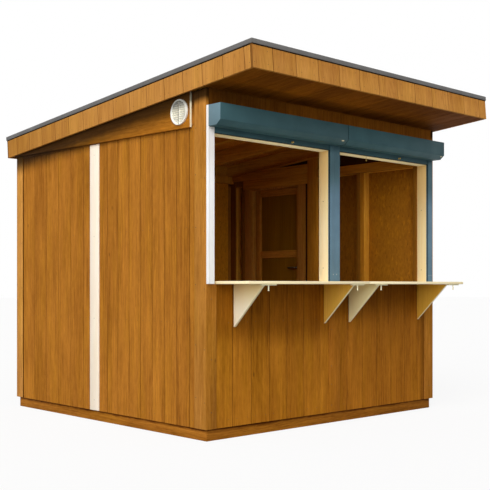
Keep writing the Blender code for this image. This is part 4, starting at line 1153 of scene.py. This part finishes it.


# The boxes and bars take a darkened blue-grey: painted shade under the roof.
shutter_paint_shaded = painted("shutter_paint_shaded", (58, 91, 97), 0.5, gloss=0.2)
rubber = painted("rubber", (40, 42, 43), 0.85, gloss=0.15)
brass = painted("brass", (196, 164, 92), 0.35, metallic=0.8)
LOCK_FROM_MIDDLE = 0.168
LOCK_PROFILE = (
    (0.008, 0.0), (0.008, 0.0014), (0.0068, 0.0022), (0.0045, 0.003), (0.0042, 0.009),
    (0.0062, 0.0115), (0.0066, 0.0145), (0.0046, 0.0172), (0.0018, 0.018),
)
HOOK_PROFILE = (
    (0.006, 0.0), (0.006, 0.0015), (0.0022, 0.002), (0.0022, 0.014),
    (0.0046, 0.0165), (0.005, 0.021), (0.0036, 0.0245), (0.0016, 0.026),
)
for bar_name in ("shutter_bar_left", "shutter_bar_right"):
    low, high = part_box(bar_name)
    foot = low.z + 0.005
    outline = [(low.y, foot)]
    for groove in (0.016, 0.029):
        outline += [
            (low.y, low.z + groove),
            (low.y + 0.0012, low.z + groove + 0.0008),
            (low.y + 0.0012, low.z + groove + 0.002),
            (low.y, low.z + groove + 0.0028),
        ]
    outline += [(low.y, high.z), (high.y, high.z), (high.y, foot)]
    keep(section_piece(bar_name + "_section", outline, low.x, high.x, "X", shutter_paint_shaded, 0.0005), bar_name)
    strip_low = (low.x, low.y + 0.002, low.z)
    seal = slab(bar_name + "_seal", strip_low, (high.x, high.y - 0.001, foot + 0.0015), rubber, 0.0008)
    keep(seal, bar_name, replaced=False)
    lock_place = ((low.x + high.x) / 2 + LOCK_FROM_MIDDLE, low.y, low.z + 0.018)
    keep(turned(bar_name + "_lock", LOCK_PROFILE, lock_place, (0, -1, 0), brass), slot="door_ironwork")
keep(turned("lintel_hook", HOOK_PROFILE, (0.44, -1.2, 2.0338), (0, 0, -1), brass), slot="door_ironwork")


# Shutter boxes: folded sheet with a chamfer along the lower front edge. Each end is closed by a cap with a
# turned rim and rivets, whose paler paint is painted light, and one oval plug near the end covers the winding
# hole.
CHAMFER_REAR = -1.3522
CHAMFER_TOP = 2.1052
CHAMFER_FACING = Vector((0, -0.636, -0.772))
BOX_FACE = -1.3913
CAP_SHEET = 0.0016
RIVETS = ((-1.285, 2.2), (-1.285, 2.088), (-1.378, 2.2), (-1.378, 2.118))
PLUG_PROFILE = ((0.0052, -0.0008), (0.0052, 0.0010), (0.0044, 0.0022), (0.0022, 0.0028))


def cap_outline(low, high, margin):
    """The end of a shutter box, from the wall side, drawn in by a margin."""
    return [
        (high.y - margin, low.z + margin),
        (CHAMFER_REAR + 0.4 * margin, low.z + margin),
        (low.y + margin, CHAMFER_TOP + 0.4 * margin),
        (low.y + margin, high.z - margin),
        (high.y - margin, high.z - margin),
    ]


# The caps' paler blue-grey is painted light on the ends of the boxes.
cap_paint_lit = painted("cap_paint_lit", (108, 136, 147), 0.42, gloss=0.3)
plug_cream = painted("plug_cream", (238, 224, 184), 0.5)
# A very dark sheet in the joint between the two boxes is painted shadow.
joint_shadow = painted("joint_shadow", (24, 34, 36), 0.8, gloss=0.1)
for box_name, side, plug_x in (("shutter_box_left", -1, -0.0416), ("shutter_box_right", 1, 1.188)):
    eased_copy(box_name, 0.0012, [shutter_paint_shaded])
    low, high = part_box(box_name)
    box_end = low.x if side < 0 else high.x
    cap_x = box_end + side * CAP_SHEET
    sheet_ends = sorted((box_end + side * 0.0002, cap_x))
    outline = cap_outline(low, high, 0.0012)
    cap = section_piece(box_name + "_cap", outline, *sheet_ends, "X", cap_paint_lit, 0.0005)
    keep(cap, box_name, replaced=False)
    rivet_spots = [((cap_x, y, z), (side, 0, 0)) for y, z in RIVETS]
    rivet_look = {"recess": 0.25, "material": cap_paint_lit, "slot": "shutter_blue_metal"}
    fixings(box_name + "_rivets", rivet_spots, 0.0026, **rivet_look)
    if side < 0:
        outline = cap_outline(low, high, -0.0009)
        ends = (high.x - 0.0042, high.x - 0.0002)
        joint = section_piece("shutter_box_joint", outline, *ends, "X", joint_shadow, 0.0003)
        keep(joint, slot="shutter_blue_metal")
    for hem_name, hem_z in (("top", 2.2075), ("fold", 2.1085)):
        hem_low = (low.x + 0.002, BOX_FACE - 0.0012, hem_z - 0.0012)
        hem_high = (high.x - 0.002, BOX_FACE + 0.0002, hem_z + 0.0012)
        hem = slab(f"{box_name}_{hem_name}_hem", hem_low, hem_high, shutter_paint_shaded, 0.0005)
        keep(hem, box_name, replaced=False)
    plug = turned(box_name + "_plug", PLUG_PROFILE, (0, 0, 0), CHAMFER_FACING, plug_cream, 20, 2.6)
    plug.data.transform(Matrix.Translation((plug_x, -1.3795, 2.0955)))
    keep(plug, slot="vent_plastic")


# Counter: two planed boards of pine with a rounded front edge, screwed to the sill. Under the front
# edge each has a turn-button with a pin for every bracket.
COUNTER_BOTTOM = 1.039
BUTTON_Y = -1.559
BUTTON_HALF = Vector((0.068, 0.011))
PIN_PROFILE = ((0.0045, 0.0), (0.0045, 0.031), (0.0062, 0.0325), (0.0062, 0.035), (0.004, 0.0368))
counter_pine = timber("counter_pine", "X", (255, 246, 212), (254, 234, 186), **PLANED_MARKS)
button_pine = timber("button_pine", "X", (255, 252, 222), (255, 244, 204), **{**END_MARKS, "fibres": 0.3})
for counter_name in ("counter_left", "counter_right"):
    low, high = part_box(counter_name)
    board = slab(counter_name + "_board", (low.x, low.y, COUNTER_BOTTOM), high, counter_pine, 0.003)
    keep(board, counter_name)
    screw_places = [low.x + share * (high.x - low.x) for share in (0.06, 0.35, 0.65, 0.94)]
    spots = [((x, high.y - 0.025, high.z), (0, 0, 1)) for x in screw_places]
    fixings(counter_name + "_screws", spots, 0.0038, material=zinc)
for bracket_name, counter_name, shift in (
    ("bracket_1", "counter_left", 0.02),
    ("bracket_2", "counter_left", 0.012),
    ("bracket_3", "counter_right", 0.0),
    ("bracket_4", "counter_right", 0.06),
):
    low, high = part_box(bracket_name)
    middle = (low.x + high.x) / 2 + shift
    plate_low = (middle - BUTTON_HALF.x, BUTTON_Y - BUTTON_HALF.y, COUNTER_BOTTOM - 0.009)
    plate_high = (middle + BUTTON_HALF.x, BUTTON_Y + BUTTON_HALF.y, COUNTER_BOTTOM - 0.0002)
    plate = slab(bracket_name + "_button", plate_low, plate_high, button_pine, 0.004)
    keep(plate, counter_name, replaced=False)
    pin_place = (middle, BUTTON_Y, COUNTER_BOTTOM - 0.0082)
    pin = turned(bracket_name + "_pin", PIN_PROFILE, pin_place, (0, 0, -1), button_pine)
    keep(pin, counter_name, replaced=False)


# Brackets: triangles of plywood, hinged on the wall, with pale cut edges. Two are browner than the other two.
def ply_edge(face):
    """The cut edges of a bracket show its layers."""
    return 0 if abs(face.normal.x) > 0.7 else 1


def layered_edge():
    """Cut plywood: thin dark and light layers across the sheet's thickness, which is along X."""
    material, tree, shader, place = finish("ply_edge")
    across = node(tree, "ShaderNodeSeparateXYZ", {0: place}).outputs[0]
    wave = maths(tree, "SINE", maths(tree, "MULTIPLY", across, 2 * math.pi / PLY_LAYER))
    fine = noise(tree, place, 130.0, 3.0)
    share = maths(tree, "MULTIPLY_ADD", wave, 0.25, maths(tree, "MULTIPLY", fine, 1.1))
    colour = blend_colours(tree, share, srgb(255, 236, 176), srgb(255, 250, 214))
    dress(tree, shader, place, colour, spread(tree, fine, 0.3, 0.7, 0.7, 0.85), 0.1, None)
    add_relief(tree, shader, share, 0.3, 0.0004)
    return material


PLY_LAYER = 0.0036
PLY_SHADE = shelter(1.03, 0.84, (0.96, 0.84, 0.60))
PEELED_MARKS = {"fibres": 0.3, "rings": 0.3, "knots": 0.0, "board_tone": 0.2, "golden": 0.3}
FINE_MARKS = {"fibres": 0.1, "rings": 0.1, "knots": 0.0, "board_tone": 0.1, "golden": 0.0}
ply_edges = layered_edge()
PALE_MARKS = {**END_MARKS, "golden": 0.05}
pale_ply = timber("pale_ply", "Z", (255, 250, 226), (255, 243, 210), PLY_SHADE, **PALE_MARKS)
# The third bracket takes a yellower copy of the pale ply without its painted shade: painted light where the
# brackets beside it shade it. The fourth takes a darker copy of the brown ply: painted shade.
middle_lit_ply = timber("middle_lit_ply", "Z", (255, 244, 190), (255, 240, 182), **FINE_MARKS)
brown_ply = timber("brown_ply", "Z", (248, 202, 92), (226, 170, 64), **PEELED_MARKS)
far_ply_shaded = timber("far_ply_shaded", "Z", (238, 192, 82), (216, 160, 54), **PEELED_MARKS)
for number, ply in enumerate((pale_ply, brown_ply, middle_lit_ply, far_ply_shaded)):
    eased_copy(f"bracket_{number + 1}", 0.0012, [ply, ply_edges], ply_edge)


# Door: a ledged leaf in the right wall. Upright boards outside on a thin sheet, two stiles and
# three rails inside, steel hinges, and a lever handle on each side.
eased_copy("door_frame", EASING, [corner_stain])
low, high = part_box("door_leaf")
DOOR_FIRST_JOINT = 0.115
DOOR_BOARD = 0.13
door_place, door_length, door_height = face_frame(low, high, "right")
door_boards = boarding(
    "door_leaf_boards",
    door_place,
    stained_upright,
    length=door_length,
    height=door_height,
    thickness=BOARD_THICKNESS,
    first_joint=DOOR_FIRST_JOINT,
    board_width=DOOR_BOARD,
    seed=51,
)
keep(door_boards, "door_leaf")
door_nails = nail_rows(door_place, door_length, door_height, DOOR_FIRST_JOINT, DOOR_BOARD, (0.05, 1.22, 1.82))
fixings("door_leaf_nails", door_nails, NAIL_RADIUS, body="door")
SHEET_OUTER = high.x - BOARD_THICKNESS - 0.0002
SHEET_INNER = high.x - 0.018
SHEET_MARKS = {"fibres": 0.4, "rings": 0.3, "knots": 0.1, "board_tone": 0.1, "golden": 0.2}
panel_stain = timber("panel_stain", "Z", (152, 103, 16), (116, 76, 9), **SHEET_MARKS)
sheet_low = (SHEET_INNER, low.y + 0.001, low.z + 0.001)
door_sheet = slab("door_leaf_sheet", sheet_low, (SHEET_OUTER, high.y - 0.001, high.z - 0.001), panel_stain)
keep(door_sheet, "door_leaf", replaced=False)
DOOR_MEMBER = 0.07
DOOR_MID_RAIL = 1.335
MEMBER_FACE = SHEET_INNER - 0.0002
door_upright = timber("door_upright", "Z", (214, 142, 56), (154, 96, 28))
door_across = timber("door_across", "Y", (214, 142, 56), (154, 96, 28))
near = low.y + DOOR_MEMBER
far = high.y - DOOR_MEMBER
mid_low = DOOR_MID_RAIL - DOOR_MEMBER / 2
mid_high = DOOR_MID_RAIL + DOOR_MEMBER / 2
for member_name, start, end, material in (
    ("stile_near", (low.y, low.z), (near, high.z), door_upright),
    ("stile_far", (far, low.z), (high.y, high.z), door_upright),
    ("rail_low", (near, low.z), (far, low.z + DOOR_MEMBER), door_across),
    ("rail_middle", (near, mid_low), (far, mid_high), door_across),
    ("rail_high", (near, high.z - DOOR_MEMBER), (far, high.z), door_across),
):
    member_low = (low.x, start[0] + THIN_GAP, start[1] + THIN_GAP)
    member_high = (MEMBER_FACE, end[0] - THIN_GAP, end[1] - THIN_GAP)
    member = slab("door_leaf_" + member_name, member_low, member_high, material, 0.002)
    keep(member, "door_leaf", replaced=False)
steel = painted("brushed_steel", (206, 206, 204), 0.32, metallic=0.5, dirt=0.03)
handle_iron = painted("handle_iron", (84, 80, 74), 0.35, metallic=0.6, dirt=0.03)
for fitting_name, metal in (
    ("door_hinge_lower", steel),
    ("door_hinge_upper", steel),
    ("door_handle_outer", handle_iron),
    ("door_handle_inner", handle_iron),
):
    eased_copy(fitting_name, 0.0006, [metal])
handle_spots = [((1.1737, y, 1.2), (-1, 0, 0)) for y in (0.279, 0.303)]
fixings("handle_screws", handle_spots, 0.004, recess=0.3, material=zinc, body="door")
hinge_spots = [
    ((1.2529, 0.844 + 0.012 * (i % 2), middle + step), (1, 0, 0))
    for middle in (0.306, 1.78)
    for i, step in enumerate((-0.038, -0.03, 0.03, 0.038))
]
fixings("hinge_screws", hinge_spots, 0.003, material=steel, body="door")


# Roof: it slopes to the rear, so everything on it is made level and then turned by the slope.
# The fascias are short upright boards, and the soffit boards run from the front to the wall.
ROOF_SLOPE = math.atan(ROOF_FALL)
ROOF_FRONT = -1.7459
ROOF_FRONT_Z = 2.3724
ROOF_HALF = 1.2924
FRONT_OVERHANG = 0.4959
REAR_OVERHANG = 0.0805
ROOF_RUN = (FRONT_OVERHANG + 2 * WALL_FACE + REAR_OVERHANG) / math.cos(ROOF_SLOPE)
FASCIA_THICKNESS = 0.018
FASCIA_HEIGHT = 0.1558
SOFFIT_THICKNESS = 0.012
roof_place = Matrix.Translation((0, ROOF_FRONT, ROOF_FRONT_Z)) @ Matrix.Rotation(-ROOF_SLOPE, 4, "X")
FASCIA_MARKS = {"fibres": 0.5, "rings": 0.4, "knots": 0.3, "board_tone": 0.2, "golden": 0.35}
FASCIA_STAIN = ("Z", (212, 152, 76), (166, 108, 48))
FRONT_FASCIA_SHADE = shelter(2.365, 2.28, (0.93, 0.89, 0.82), (0, ROOF_FALL, 1))
LEFT_FASCIA_SHADE = shelter(1.25, -0.5, (0.82, 0.8, 0.68), (0, 1, 0))
fascia_board = timber("fascia_board", *FASCIA_STAIN, **FASCIA_MARKS)
fascia_shaded = timber("fascia_shaded", *FASCIA_STAIN, FRONT_FASCIA_SHADE, **FASCIA_MARKS)
# The left fascia darkens towards the rear: painted shade.
fascia_rear_shade = timber("fascia_rear_shade", *FASCIA_STAIN, LEFT_FASCIA_SHADE, **FASCIA_MARKS)
# Under each trim runs a thin very dark strip: painted shadow of the trim's edge.
trim_shadow = painted("trim_shadow", (30, 20, 10), 0.85, gloss=0.1)
inset = FASCIA_THICKNESS + THIN_GAP
side_length = ROOF_RUN - 2 * inset
for cad_node, turn, corner, length, first, width, seed, material in (
    ("fascia_front", 0, (-ROOF_HALF, 0), 2 * ROOF_HALF, 0.177, 0.2097, 41, fascia_shaded),
    ("fascia_rear", 180, (ROOF_HALF, ROOF_RUN), 2 * ROOF_HALF, 0.177, 0.2097, 42, fascia_board),
    ("fascia_left", -90, (-ROOF_HALF, ROOF_RUN - inset), side_length, 0.152, 0.2029, 43, fascia_rear_shade),
    ("fascia_right", 90, (ROOF_HALF, inset), side_length, 0.2, 0.2029, 44, fascia_board),
):
    place = roof_place @ (Matrix.Translation((*corner, 0)) @ Matrix.Rotation(math.radians(turn), 4, "Z"))
    fascia = boarding(
        cad_node + "_boards",
        place,
        material,
        length=length,
        height=FASCIA_HEIGHT,
        thickness=FASCIA_THICKNESS,
        first_joint=first,
        board_width=width,
        chamfer=0.0015,
        seed=seed,
    )
    keep(fascia, cad_node)
    # This strip, named a seal, is painted shadow under the trim.
    strip_low = (0.001, -0.0012, 0.1445)
    shadow_strip = slab(cad_node + "_seal", strip_low, (length - 0.001, 0.0002, 0.1514), trim_shadow, 0.0003)
    shadow_strip.data.transform(place)
    keep(shadow_strip, cad_node, replaced=False)
    fascia_nails = nail_rows(place, length, FASCIA_HEIGHT, first, width, (0.035, 0.118))
    fixings(cad_node + "_nails", fascia_nails, NAIL_RADIUS)
soffit_depth = FRONT_OVERHANG / math.cos(ROOF_SLOPE) - SOFFIT_THICKNESS * math.tan(ROOF_SLOPE) - THIN_GAP
soffit_corner = Matrix.Translation((-ROOF_HALF + inset, soffit_depth, 0))
# The soffit's stain is darker than the walls': partly its own stain, partly painted shade under the roof.
soffit_shade_stain = timber("soffit_shade_stain", "Y", (140, 80, 11), (88, 45, 3), board_tone=0.5)
soffit = boarding(
    "front_soffit_boards",
    roof_place @ soffit_corner @ Matrix.Rotation(math.radians(90), 4, "X"),
    soffit_shade_stain,
    length=2 * (ROOF_HALF - inset),
    height=soffit_depth - inset,
    thickness=SOFFIT_THICKNESS,
    first_joint=0.16,
    board_width=0.2,
    joint=0.001,
    chamfer=0.0015,
    seed=45,
)
keep(soffit, "front_soffit")
deck_strands = strands("deck_strands", (244, 166, 46), (184, 116, 20))
eased_copy("roof_deck", 0.001, [deck_strands])


# Roof cover and edge trim: mineral felt, laid in laps across the slope and nailed along each lap,
# and folded grey metal round the edge.
def mineral_felt():
    """Felt with fine slate granules, which has weathered in broad patches."""
    material, tree, shader, place = finish("roof_felt")
    cells = node(tree, "ShaderNodeTexVoronoi", {"Vector": place, "Scale": 420.0})
    granules = red_of(tree, cells.outputs["Color"])
    weather = noise(tree, place, 2.5, 5.0)
    share = maths(tree, "MULTIPLY", granules, spread(tree, weather, 0.3, 0.7, 0.5, 1.0))
    colour = blend_colours(tree, share, srgb(44, 45, 48), srgb(96, 98, 102))
    dress(tree, shader, place, colour, spread(tree, weather, 0.3, 0.7, 0.85, 0.97), 0.5, None)
    add_relief(tree, shader, granules, 0.5, 0.0008)
    return material


felt = mineral_felt()
eased_copy("roof_cover", 0.002, [felt])
COVER_TOP = 0.1741
LAP_TOP = COVER_TOP + 0.0014
LAP_HALF = ROOF_HALF - 0.075
LAP_NAILS = 25
lap_facing = tuple(roof_place.to_3x3() @ Vector((0, 0, 1)))
for number, run in enumerate((0.86, 1.72, 2.58)):
    lap_low = (-LAP_HALF, run, COVER_TOP + 0.0001)
    lap = slab(f"felt_lap_{number + 1}", lap_low, (LAP_HALF, run + 0.09, LAP_TOP), felt, 0.0004)
    lap.data.transform(roof_place)
    keep(lap, slot="roof_membrane")
    lap_spots = []
    for i in range(LAP_NAILS):
        x = -LAP_HALF + 0.03 + i * (2 * LAP_HALF - 0.06) / (LAP_NAILS - 1)
        lap_spots.append((tuple(roof_place @ Vector((x, run + 0.02, LAP_TOP))), lap_facing))
    fixings(f"felt_nails_{number + 1}", lap_spots, 0.0045, recess=0.2, material=zinc, slot="roof_membrane")
trim_grey = painted("trim_grey", (104, 102, 100), 0.55, metallic=0.1)
eased_copy("roof_edge_trim", 0.0012, [trim_grey])
